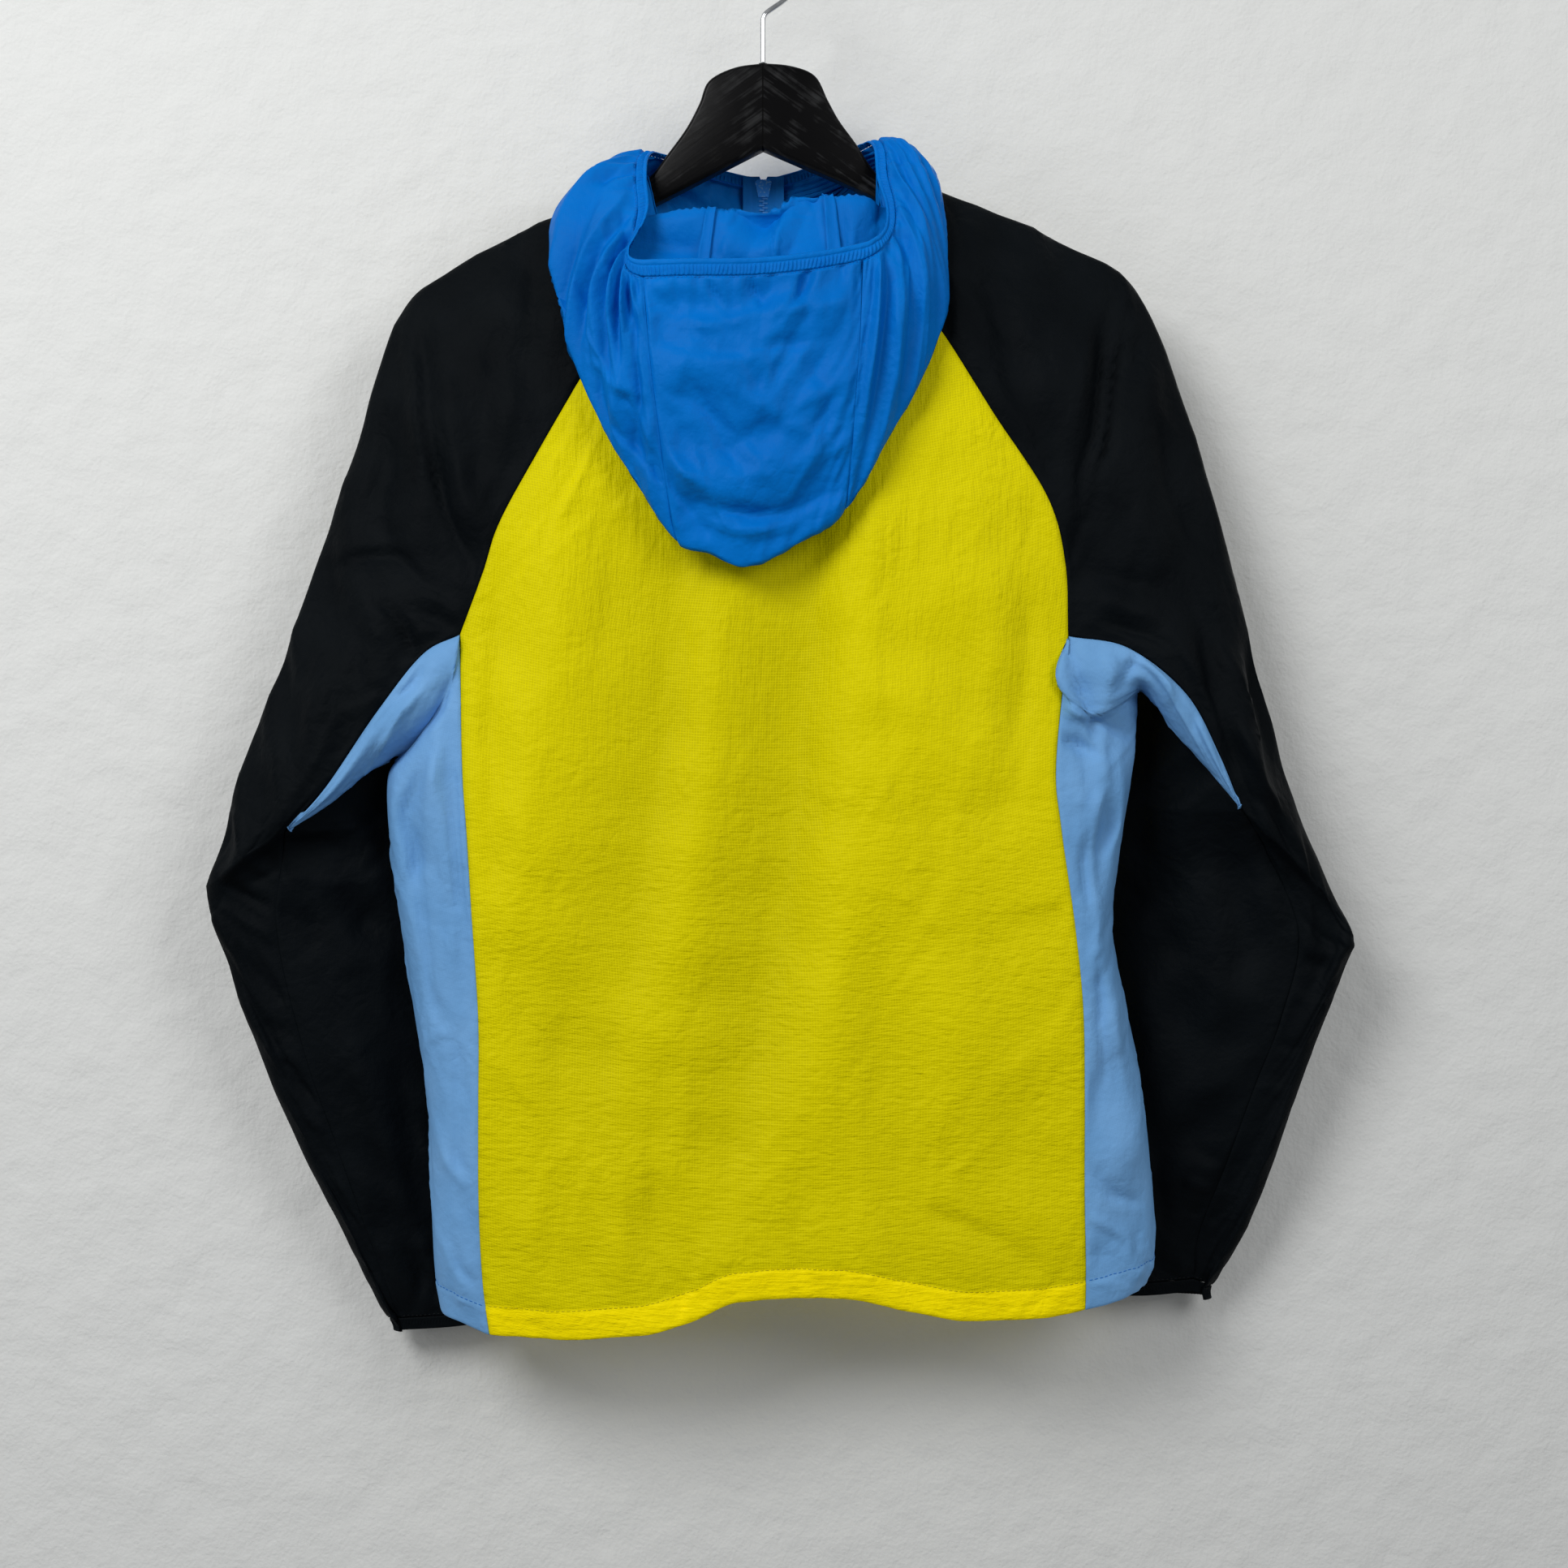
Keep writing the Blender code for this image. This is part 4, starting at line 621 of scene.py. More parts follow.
def strokes(u, v, seed, count, length, width, height, turn=90.0, spread=35.0, mask=None):
    """Height over a cloth's own u, v in mm of many short wrinkles, each a ridge and a trough."""
    draw = np.random.default_rng(seed)
    total = np.zeros(u.shape)
    low_u, high_u, low_v, high_v = u.min(), u.max(), v.min(), v.max()
    for _ in range(count):
        centre_u, centre_v = draw.uniform(low_u, high_u), draw.uniform(low_v, high_v)
        angle = math.radians(turn + spread * draw.standard_normal())
        half_length = draw.uniform(*length) / 2
        half_width = draw.uniform(*width) / 2
        tall = draw.uniform(0.35, 1.0) * height * draw.choice([-1, 1])
        bend = draw.uniform(-0.5, 0.5) / half_length
        near = (abs(u - centre_u) < 2.2 * half_length + 8) & (abs(v - centre_v) < 2.2 * half_length + 8)
        du, dv = u[near] - centre_u, v[near] - centre_v
        along = du * math.cos(angle) + dv * math.sin(angle)
        across = -du * math.sin(angle) + dv * math.cos(angle) + bend * along**2 / 2
        ratio = across / half_width
        ridge = np.exp(-1.7 * (np.sqrt(ratio**2 + 0.06) - 0.245)) * np.exp(-0.1 * ratio**4)
        total[near] += tall * np.exp(-(along / half_length)**2) * (
            ridge - 0.5 * np.exp(-((ratio - 1.8) / 1.1)**2))
    return total if mask is None else total * mask


def crumple(u, v, seed, size, height, count=6):
    """Crisp shallow facets, as thin coated cloth keeps once it has been crushed; size in mm."""
    draw = np.random.default_rng(seed)
    total = np.zeros(u.shape)
    for number in range(count):
        angle, length = draw.uniform(0, math.pi), size * draw.uniform(0.6, 1.6)
        across = (u * math.cos(angle) + v * math.sin(angle)) / length + draw.uniform(0, 9)
        across += 0.35 * noise(u / size / 2, v / size / 2, seed + number)
        fold = np.sqrt(4 * (across - np.floor(across + 0.5)) ** 2 + 0.004) - 0.5
        share = np.clip(noise(u / size / 2.2, v / size / 2.2, seed + 20 + number) + 0.35, 0, 1)
        total += fold * share * length / size
    return height * total


# ---- seams ----------------------------------------------------------------------------------

HEM_LINES = (0.6, 1.3, 2.3, 16.2, 17.2, 18.0, 18.8, 19.8)
YOKE_AT = rows_between(0, ARMPIT, 270)
BODY_AT = rows_between(ARMPIT, HEM, 425, lines=HEM_LINES)
GUSSET_AT = rows_between(ARMPIT, TIP, 150)
FOREARM_AT = rows_between(TIP, CUFF, 310, lines=EDGE_LINES)


def down_sleeve(table, first=0):
    """Samples a sleeve table at the rows of the sleeve, from the station where it starts."""
    table = np.asarray(table, float)
    parts = [smooth(table[low - first:high - first + 1], at - low)
             for at, low, high in ((YOKE_AT, 0, ARMPIT), (GUSSET_AT, ARMPIT, TIP),
                                   (FOREARM_AT, TIP, CUFF))]
    return np.vstack([parts[0], parts[1][1:], parts[2][1:]])


def down_body(yoke, body):
    """Joins a yoke edge to a side edge and samples both at the rows of the body."""
    upper = smooth(np.asarray(yoke, float)[:ARMPIT + 1], YOKE_AT)
    lower = smooth(np.asarray(body, float), BODY_AT - ARMPIT)
    return np.vstack([upper, lower[1:]])


# ---- base grids of the cloth pieces -----------------------------------------------------------

def back_grid(step=2.3):
    left = down_body(SLEEVE_BACK_SEAM["left"], SIDE_BACK_SEAM["left"])
    right = down_body(SLEEVE_BACK_SEAM["right"], SIDE_BACK_SEAM["right"])
    stations = np.concatenate([YOKE_AT, BODY_AT[1:]])
    middle = np.interp(stations, range(HEM + 1), BACK_MIDDLE_DEPTH)
    lift_share = np.clip((stations - HEM_LIFT_FROM) / (HEM - HEM_LIFT_FROM), 0, 1) ** 1.5
    across = right - left
    width = np.linalg.norm(across, axis=1).mean()
    shares = steps_over([width], step)
    lift_line = smooth([(share, mm, 0) for share, mm in HEM_LIFT],
                       np.interp(shares, [row[0] for row in HEM_LIFT], range(len(HEM_LIFT))))[:, 1]
    grid = left[:, None] + across[:, None] * shares[:, None]
    belly = 1 - np.abs(2 * shares - 1) ** 3
    grid[..., 1] += (middle - (left[:, 1] + right[:, 1]) / 2)[:, None] * belly
    grid[..., 2] += lift_share[:, None] * lift_line[None]
    return draw_in_columns(grid, SEAM, SEAM)


def front_grid(side, step=4.0):
    sign = -1 if side == "left" else 1
    outer = down_body(SLEEVE_FRONT_SEAM[side][:ARMPIT + 1], SIDE_FRONT_SEAM[side])
    stations = np.concatenate([YOKE_AT, BODY_AT[1:]])
    inner = smooth(FRONT_MIDDLE, stations) + np.array([sign * ZIP_EDGE, 0, 0])
    middle = (outer + inner) / 2 + np.array([0, 2.0, 0])
    return loft([outer, middle, inner], step, ends=(SEAM, 0))


def side_columns(side):
    """Lines down a side panel from the armpit, over its rounded edge."""
    back = smooth(SIDE_BACK_SEAM[side], BODY_AT - ARMPIT)
    outermost = np.asarray(SIDE_OUTERMOST[side], float)
    front = np.asarray(SIDE_FRONT_SEAM[side], float)
    back_table = np.asarray(SIDE_BACK_SEAM[side], float)
    columns = [back]
    for seam, angles in ((back_table, (30, 60)), (None, (90,)), (front, (60, 30))):
        for angle in angles:
            if seam is None:
                table = outermost.copy()
            else:
                table = seam + (outermost - seam) * math.sin(math.radians(angle))
                table[:, 1] = seam[:, 1] * math.cos(math.radians(angle))
            table[0] = ARMPIT_BEND[side][len(columns)]
            columns.append(smooth(table, BODY_AT - ARMPIT))
    columns.append(smooth(front, BODY_AT - ARMPIT))
    return columns


def side_grid(side):
    body = side_columns(side)
    table = np.asarray([ARMPIT_BEND[side]] + GUSSET[side], float)
    tip_back = np.asarray(SLEEVE_BACK_SEAM[side][TIP], float)
    tip_front = np.asarray(SLEEVE_FRONT_SEAM[side][TIP], float)
    tip = [tip_back + (tip_front - tip_back) * share for share in np.linspace(0, 1, 7)]
    table = np.concatenate([table, [tip]])
    at = GUSSET_AT[1:] - ARMPIT
    at[-1] = TIP_STATION - ARMPIT
    columns = [np.vstack([line[::-1], smooth(table[:, number], at)])
               for number, line in enumerate(body)]
    return loft(columns)


def sleeve_columns(side):
    """Lines down a sleeve: back seam, round the outer fold, over the front, to the lower seam."""
    back = np.asarray(SLEEVE_BACK_SEAM[side], float)
    outer = np.asarray(SLEEVE_OUTER_FOLD[side], float)
    front = np.vstack([np.asarray(SLEEVE_FRONT_SEAM[side], float), back[TIP + 1:]])
    inner = np.vstack([outer[:ARMPIT + 1] + 0.72 * (front - outer)[:ARMPIT + 1],
                       np.asarray(SLEEVE_INNER_FOLD[side], float)])
    fullness = np.asarray(SLEEVE_FULLNESS, float)
    inner[:ARMPIT + 1, 1] += 0.8 * fullness[:ARMPIT + 1, 1]
    depth = np.array([0, 1, 0])
    middle = (back + inner) / 2 - outer
    middle[:, 1] = 0
    inward = middle / np.linalg.norm(middle, axis=1, keepdims=True)
    inner_middle = (inner + front) / 2 - fullness[:, 2:] * depth
    inner_middle[:ARMPIT + 1] += (0.25 * fullness[:ARMPIT + 1, 1:2]) * depth
    lines = [
        back,
        (back + outer) / 2 - fullness[:, :1] * depth,
        outer + inward * FOLD_ROUND * 0.7 - depth * FOLD_ROUND,
        outer,
        outer + inward * FOLD_ROUND * 0.7 + depth * FOLD_ROUND,
        (outer + inner) / 2 + fullness[:, 1:2] * depth,
        inner,
        inner_middle,
        front,
    ]
    return [down_sleeve(line) for line in lines]


def sleeve_grid(side):
    return loft(sleeve_columns(side), 2.65)


def cuff_grid(side, samples=360):
    """Elastic band below the end of a sleeve, a closed ring."""
    columns = sleeve_columns(side)
    table = np.stack([line[-3:] for line in columns], axis=1)
    at = np.linspace(0, len(columns) - 1, 400)
    before, ring = smooth(table[0], at), smooth(table[-1], at)
    lengths = travelled(ring)
    even = np.interp(np.linspace(0, lengths[-1], samples + 1), lengths, at)
    before, ring = smooth(table[0], even), smooth(table[-1], even)
    way = (ring - before).mean(axis=0)
    way /= np.linalg.norm(way)
    middle = ring.mean(axis=0)
    shares = np.linspace(0, 1, 12)
    grid = np.stack([middle + (ring - middle) * (0.99 - 0.025 * math.sin(math.pi * share))
                     + way * (share * CUFF_HEIGHT + 0.3) for share in shares])
    grid[:, -1] = grid[:, 0]
    return grid


# ---- hood -----------------------------------------------------------------------------------

def neck_loop():
    """Half loops of the neck seam, from the zip round each side to the middle of the back."""
    loops = {}
    back = back_grid(12.0)[0]
    for side in ("left", "right"):
        front = front_grid(side)[0][::-1]
        sleeve = sleeve_grid(side)[0][::-1]
        half = back if side == "left" else back[::-1]
        half = half[:len(half) // 2 + 1]
        loops[side] = np.vstack([front, sleeve[1:], half[1:]])
    return loops


def hood_columns():
    """Lines round the hood, from the left edge of the zip to the right one."""
    middle = np.array([4.0, 4.0, 0.0])
    tables = {}
    for side, loop in neck_loop().items():
        rows = []
        for neck, roll, fold_point, brim in HOOD_STATIONS[side]:
            start = point_at(loop, neck)
            inwards = middle - start
            inwards[2] = 0
            start = start + inwards / np.linalg.norm(inwards) * 0.8 - np.array([0, 0, 2.5])
            fold_point, brim = np.array(fold_point, float), np.array(brim, float)
            outwards = fold_point - start
            outwards[2] = 0
            outwards /= np.linalg.norm(outwards)
            flat_top = start + (fold_point - start) * 0.3
            height = ROLL_HEIGHT + np.interp(neck, *ROLL_RISE[side])
            rolled_top = start + outwards * ROLL_REACH + np.array([0, 0, height + 2.5])
            top = flat_top + (rolled_top - flat_top) * roll
            flat_inner = start + (fold_point - start) * 0.65
            rolled_inner = (top + fold_point) / 2 + outwards * 2
            rolled_inner[1] -= HOOD_INNER_LIE * (fold_point[1] < -20)
            inner = flat_inner + (rolled_inner - flat_inner) * roll
            belly = np.array([outwards[0] * 4, -HOOD_OUTER_BELLY, 4.0]) * roll
            outer = (fold_point + brim) / 2 + belly
            rows.append([start, top, inner, fold_point, outer, brim])
        tables[side] = np.asarray(rows)
    return np.concatenate([tables["left"], tables["right"][::-1][1:]])


HOOD_NET = hood_columns()
HOOD_LAST = len(HOOD_NET) - 1


def hood_rows(at):
    """Curves from the neck seam to the brim at the given stations round the hood."""
    return np.stack([smooth(HOOD_NET[:, number], at) for number in range(HOOD_NET.shape[1])],
                    axis=1)


def brim_height(at):
    """Height of the brim band round the hood: taller across the back."""
    rise = np.clip((HOOD_LAST / 2 - np.abs(at - HOOD_LAST / 2) - 10) / 2, 0, 1)
    return BRIM_SIDE + (BRIM_BACK - BRIM_SIDE) * rise


def hood_row(row, start, stop, count, extra=()):
    """Points evenly along a row, from a length after its start to one before its end."""
    curve = smooth(row, np.linspace(0, len(row) - 1, 26 * (len(row) - 1) + 1))
    lengths = travelled(curve)
    wanted = np.linspace(start, lengths[-1] - stop, count + 1)
    wanted = np.sort(np.concatenate([wanted, [wanted[-1] - mm for mm in extra],
                                     [wanted[0] + mm for mm in extra]]))
    return np.stack([np.interp(wanted, lengths, curve[:, axis]) for axis in range(3)], axis=1)


def hood_grid(first, last, step=1.7):
    stations = HOOD_NET[first:last + 1]
    spans = np.linalg.norm(np.diff(stations, axis=0), axis=2)[:, 3:].mean(axis=1)
    at = first + steps_over(spans, step, first > 0, last < HOOD_LAST)
    grid = np.stack([hood_row(row, 0.0, brim_height(station), 136, EDGE_LINES)
                     for row, station in zip(hood_rows(at), at)])
    if first > 0:
        grid = grid.transpose(1, 0, 2)
        grid = draw_in_columns(grid, SEAM, SEAM).transpose(1, 0, 2)
    return grid


def brim_grid(across):
    """The band round the hood's edge, at given shares across it, sampled finely along it."""
    coarse = np.linspace(0, HOOD_LAST, 600)
    lengths = travelled(np.stack([row[-1] for row in hood_rows(coarse)]))
    at = np.interp(np.arange(0, lengths[-1], 0.5), lengths, coarse)
    grid = []
    for row, station in zip(hood_rows(at), at):
        curve = smooth(row, np.linspace(0, len(row) - 1, 101))
        along = travelled(curve)
        wanted = along[-1] - brim_height(station) * (1 - np.asarray(across)) 
        grid.append(np.stack([np.interp(wanted, along, curve[:, axis]) for axis in range(3)],
                             axis=1))
    return np.stack(grid), at


# ---- zip tape -------------------------------------------------------------------------------

def zip_line():
    """The middle of the zip from the hem to the slider, on the outer face of the cloth."""
    front = {side: front_grid(side)[::-1, -1] for side in ("left", "right")}
    lower = (front["left"] + front["right"]) / 2
    collar = (hood_row(hood_rows([0.0])[0], 2.0, 0, 20)
              + hood_row(hood_rows([float(HOOD_LAST)])[0], 2.0, 0, 20)) / 2
    return np.vstack([lower, collar])


# ---- cloth: relief and meshes -----------------------------------------------------------------

def normals_of(grid, flip):
    """Outward unit normals over a grid."""
    normal = np.cross(np.gradient(grid, axis=1), np.gradient(grid, axis=0))
    normal /= np.maximum(np.linalg.norm(normal, axis=2, keepdims=True), 1e-9)
    return -normal if flip else normal


def lengths_over(grid):
    """Lengths in mm along the columns and down the rows of a grid."""
    across = np.linalg.norm(np.diff(grid, axis=1), axis=2)
    down = np.linalg.norm(np.diff(grid, axis=0), axis=2)
    zero_column, zero_row = np.zeros((len(grid), 1)), np.zeros((1, grid.shape[1]))
    return (np.concatenate([zero_column, across.cumsum(axis=1)], axis=1),
            np.concatenate([zero_row, down.cumsum(axis=0)]))


class Cloth:
    """A grid of cloth with its normals, its lengths in mm and the distance to each edge."""

    def __init__(self, grid, flip):
        self.grid, self.flip = grid, flip
        self.normals = normals_of(grid, flip)
        self.u, self.v = lengths_over(grid)
        middle = self.u[:, self.u.shape[1] // 2][:, None]
        self.weave_u = self.u - middle
        self.edges = {"top": self.v, "bottom": self.v[-1] - self.v, "left": self.u,
                      "right": self.u[:, -1:] - self.u}
        self.raised = np.zeros(grid.shape[:2])
        self.double = np.zeros(grid.shape[:2])

    def to_seams(self, sewn):
        return np.min([self.edges[name] for name in sewn], axis=0)

    def creases(self, table, side, sewn, seed, scale=1.5, narrow=1.0, uneven=0.35):
        """Listed creases on the part that faces the back (-1) or the front (1)."""
        facing = np.clip(side * self.normals[..., 1] / 0.45, 0, 1)
        near = 1 - np.exp(-(self.to_seams(sewn) / 4.0) ** 2) if sewn else 1.0
        flat = self.grid[..., [0, 2]].reshape(-1, 2)
        height = crease_heights(flat, table, seed, scale, narrow, uneven).reshape(facing.shape) * facing * near
        self.raised += height
        self.grid[..., 1] += side * height

    def flatness(self):
        """1 where the cloth faces the front or the back, and 0 round its outer folds."""
        return np.clip((np.abs(self.normals[..., 1]) - 0.35) / 0.45, 0, 1)

    def lift(self, height):
        """Moves the cloth along its normals."""
        self.raised += height
        self.grid = self.grid + self.normals * height[..., None]

    def seams(self, sewn, seed, pucker=0.55):
        """The cloth dips into each seam and puckers unevenly along it."""
        height = np.zeros(self.u.shape)
        for number, name in enumerate(sewn):
            away = self.edges[name]
            along = self.v if name in ("left", "right") else self.u
            height -= 0.75 * np.exp(-(away / 1.25) ** 2)
            waves = noise(along / 5.5, away / 10, seed + number)
            waves = waves + 0.6 * noise(along / 11, away / 18, seed + 9 + number)
            height += pucker * waves * np.exp(-away / 6.5) * (1 - np.exp(-(away / 1.6) ** 2))
        self.lift(height)

    def hem(self, seed, edge="bottom"):
        """A folded casing along the hem, its stitch line and the ripples that it gathers."""
        away = self.edges[edge]
        along = self.u
        inside = 0.5 - 0.5 * np.tanh((away - HEM_CASING) / 0.7)
        height = 0.45 * inside
        stitch = away - HEM_CASING
        height -= 0.6 * np.exp(-(stitch / 0.8) ** 2)
        height += 0.5 * noise(along / 4.2, away / 14, seed) * np.exp(-np.abs(stitch) / 4.5)
        height += 0.7 * noise(along / 9.0, away / 26, seed + 1) * inside
        height += 0.35 * noise(along / 15.0, away / 22, seed + 2) * np.exp(-away / 40)
        height -= 0.5 * np.exp(-(away / 0.9) ** 2)
        self.double = np.maximum(self.double, inside)
        self.lift(height)


def make_object(name, mesh, finish):
    made = bpy.data.objects.new(name, mesh)
    mesh.materials.append(finish)
    bpy.context.scene.collection.objects.link(made)
    return made


def cloth_object(name, cloth, finish, shell=SHELL, ring=False):
    """A cloth piece: a grid bent over its rows and columns, with a thin wall inside."""
    rows, columns = cloth.grid.shape[:2]
    shape = bmesh.new()
    bmesh.ops.create_grid(shape, x_segments=columns - 1, y_segments=rows - 1, size=0.5)
    if cloth.flip:
        bmesh.ops.reverse_faces(shape, faces=shape.faces)
    mesh = bpy.data.meshes.new(name)
    shape.to_mesh(mesh)
    shape.free()
    place = np.empty(3 * len(mesh.vertices))
    mesh.vertices.foreach_get("co", place)
    place = place.reshape(-1, 3)
    column = np.rint((place[:, 0] + 0.5) * (columns - 1)).astype(int)
    row = np.rint((place[:, 1] + 0.5) * (rows - 1)).astype(int)
    mesh.vertices.foreach_set("co", (cloth.grid[row, column] * MM).ravel())
    corner = np.empty(len(mesh.loops), int)
    mesh.loops.foreach_get("vertex_index", corner)
    weave = np.stack([cloth.weave_u, cloth.v], axis=2)[row, column] * MM
    layer = mesh.uv_layers.new(name="weave")
    layer.data.foreach_set("uv", weave[corner].ravel())
    # The relief height and this weight by the edges feed the yellow cloth's painted shade in its folds and its
    # dirt and painted shade along its seams.
    seam = np.exp(-(np.min([cloth.edges[key] for key in cloth.edges], axis=0) / 2.2) ** 2)
    for label, values in (("raised", cloth.raised), ("double", cloth.double), ("seam", seam)):
        data = mesh.attributes.new(label, "FLOAT", "POINT")
        data.data.foreach_set("value", values[row, column].astype(np.float32))
    if ring:
        shape = bmesh.new()
        shape.from_mesh(mesh)
        bmesh.ops.remove_doubles(shape, verts=shape.verts, dist=0.00001)
        shape.to_mesh(mesh)
        shape.free()
    mesh.shade_smooth()
    made = make_object(name, mesh, finish)
    wall = made.modifiers.new("wall", "SOLIDIFY")
    wall.thickness = shell * MM
    wall.offset = -1
    wall.use_even_offset = False
    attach(made, "jacket")
    return made


def back_panel():
    cloth = Cloth(back_grid(), True)
    sewn = ("top", "left", "right")
    cloth.creases(BROAD_CREASES, -1, sewn, 10, 1.0, 1.0, 0.0)
    cloth.creases(TORSO_CREASES, -1, sewn, 11, 1.15)
    seams_away = 1 - np.exp(-(cloth.to_seams(sewn) / 8) ** 2)
    relief = strokes(cloth.u, cloth.v, 12, 150, (26, 90), (5, 11), 0.7, 90, 24)
    relief += strokes(cloth.u, cloth.v, 13, 160, (10, 32), (3, 5.5), 0.4, 40, 60)
    upper = np.clip((330 - cloth.v) / 120, 0, 1)
    relief += strokes(cloth.u, cloth.v, 18, 190, (50, 150), (4, 7), 0.55, 90, 5, upper)
    relief += crumple(cloth.u, cloth.v, 14, 60, 1.6)
    cloth.lift(relief * seams_away)
    cloth.seams(sewn, 15)
    cloth.hem(17)
    cloth.grid[..., 2] -= 1.0 * np.exp(-cloth.edges["top"] / 1.5)   # clear of the hood above
    return cloth


def front_panel(side):
    left = side == "left"
    cloth = Cloth(front_grid(side), not left)
    sewn = ("top", "left")
    cloth.creases(FRONT_CREASES, 1, ("top", "left", "right"), 21)
    seams_away = 1 - np.exp(-(cloth.to_seams(("top", "left", "right")) / 8) ** 2)
    relief = strokes(cloth.u, cloth.v, 22 + left, 90, (26, 80), (6, 12), 0.55, 90, 28)
    cloth.lift(relief * seams_away)
    cloth.seams(sewn, 24)
    zip_away = cloth.edges["right"]
    stitch = zip_away - 6.0
    height = -0.45 * np.exp(-(stitch / 0.8) ** 2) - 0.4 * np.exp(-(zip_away / 0.8) ** 2)
    height += 0.4 * noise(cloth.v / 6, zip_away / 12, 26) * np.exp(-np.abs(stitch) / 6)
    cloth.lift(height)
    cloth.hem(27)
    return cloth


def side_panel(side):
    left = side == "left"
    cloth = Cloth(side_grid(side), left)
    sewn = ("left", "right", "bottom")
    cloth.creases(TORSO_CREASES + ARM_CREASES, -1, sewn, 11, 2.2, 0.8)
    cloth.creases(GUSSET_CREASES, -1, sewn, 12, 1.8)
    cloth.creases(FRONT_CREASES + ARM_FRONT_CREASES, 1, sewn, 21)
    seams_away = 1 - np.exp(-(cloth.to_seams(sewn) / 6) ** 2)
    relief = strokes(cloth.u, cloth.v, 32 + left, 90, (30, 110), (4, 8), 1.2, 80, 25)
    relief += strokes(cloth.u, cloth.v, 34 + left, 120, (8, 24), (2.8, 5), 0.5, 30, 60)
    relief += crumple(cloth.u, cloth.v, 33 + left, 60, 3.0) * cloth.flatness()
    cloth.lift(relief * seams_away)
    cloth.seams(sewn, 36)
    cloth.hem(38, "top")
    return cloth


def sleeve(side):
    left = side == "left"
    cloth = Cloth(sleeve_grid(side), not left)
    sewn = ("top", "left", "right", "bottom")
    cloth.creases(ARM_CREASES, -1, sewn, 41, 1.9)
    cloth.creases(ARM_FRONT_CREASES, 1, sewn, 42)
    seams_away = 1 - np.exp(-(cloth.to_seams(sewn) / 6) ** 2)
    relief = strokes(cloth.u, cloth.v, 43 + left, 260, (16, 70), (4, 9), 1.3, 95, 36)
    relief += strokes(cloth.u, cloth.v, 45 + left, 300, (7, 24), (2.8, 5), 0.5, 20, 60)
    relief += crumple(cloth.u, cloth.v, 47 + left, 46, 3.0)
    relief *= 0.25 + 0.75 * cloth.flatness()
    cloth.lift(relief * seams_away)
    cloth.seams(sewn, 49, 0.7)
    gather = cloth.edges["bottom"]
    waves = noise(cloth.u / 4.5, gather / 40, 53 + left)
    cloth.lift((1.5 * waves - 0.4) * np.exp(-gather / 13) * (1 - np.exp(-(gather / 2.0) ** 2)))
    return cloth


def gathered_band(cloth, across, along, pitch, tall, plain, seed):
    """Ridges gathered over an elastic, and a plain rounded binding at the free edge."""
    phase = 2 * np.pi * along / pitch + 2.4 * noise(along / 9, across, seed)
    ridge = np.clip(across / (1 - plain), 0, 1)
    swell = np.sin(np.pi * np.clip(ridge, 0, 1)) ** 0.5
    height = tall * (0.5 + 0.5 * np.cos(phase)) * swell * (1 + 0.3 * noise(along / 5, across, seed + 1))
    bound = np.clip((across - (1 - plain)) / plain, 0, 1)
    height = np.where(across > 1 - plain, 0.75 * np.sin(np.pi * bound) ** 0.5, height)
    height = height + 0.18 * noise(along / 2.4, 3 * across, seed + 2)
    cloth.lift(height)


def cuff(side):
    left = side == "left"
    grid = cuff_grid(side)
    cloth = Cloth(grid, not left)
    across = cloth.v / cloth.v[-1:]
    turns = cloth.u[0, -1] / round(cloth.u[0, -1] / 2.0)
    along = cloth.u
    height = 0.55 * (0.5 + 0.5 * np.cos(2 * np.pi * along / turns)) * np.sin(np.pi * across) ** 0.5
    cloth.lift(height)
    cloth.grid[:, -1] = cloth.grid[:, 0]
    return cloth


def hood_part(first, last):
    cloth = Cloth(hood_grid(first, last), True)
    sewn = [name for name, wanted in (("top", first > 0), ("bottom", last < HOOD_LAST),
                                      ("left", True), ("right", True)) if wanted]
    wide = first == HOOD_SEAM
    cloth.creases(HOOD_CREASES, -1, sewn, 61, 2.1 if wide else 1.8, 0.8)
    away = 1 - np.exp(-(cloth.to_seams(sewn) / 6) ** 2)
    relief = strokes(cloth.u, cloth.v, 62 + first, 100 if wide else 36, (18, 80), (4.4, 9), 1.2 if wide else 1.1,
                     60 if wide else 20, 60 if wide else 35)
    relief += strokes(cloth.u, cloth.v, 63 + first, 160 if wide else 60, (7, 22), (2.6, 4.4), 0.7 if wide else 0.4,
                      60, 60)
    relief += crumple(cloth.u, cloth.v, 65 + first, 44, 4.6)
    relief *= 0.15 + 0.85 * cloth.flatness()
    cloth.lift(relief * away)
    cloth.seams([name for name in sewn if name != "right"], 64 + first, 1.0)
    gather = cloth.edges["right"]
    round_hood = cloth.v[:, -1:] + 0 * gather
    fan = (noise(round_hood / 6.5, gather / 60, 66 + first)
           + 0.5 * noise(round_hood / 3.6, gather / 30, 67))
    reach = 17 + 11 * noise(round_hood / 9, 0 * gather, 68)
    cloth.lift(2.4 * fan * np.exp(-gather / reach) * (1 - np.exp(-(gather / 1.2) ** 2))
               - 0.5 * np.exp(-(gather / 1.3) ** 2))
    return cloth


def brim():
    across = np.concatenate([np.linspace(0, 0.6, 9), np.linspace(0.64, 1, 9)])
    grid, _ = brim_grid(across)
    cloth = Cloth(grid, True)
    along = cloth.v[:, -1:] + 0 * cloth.v
    gathered_band(cloth, across[None] + 0 * along, along, 2.4, 1.15, 0.36, 71)
    return cloth


# ---- zip, bindings and stitches ---------------------------------------------------------------

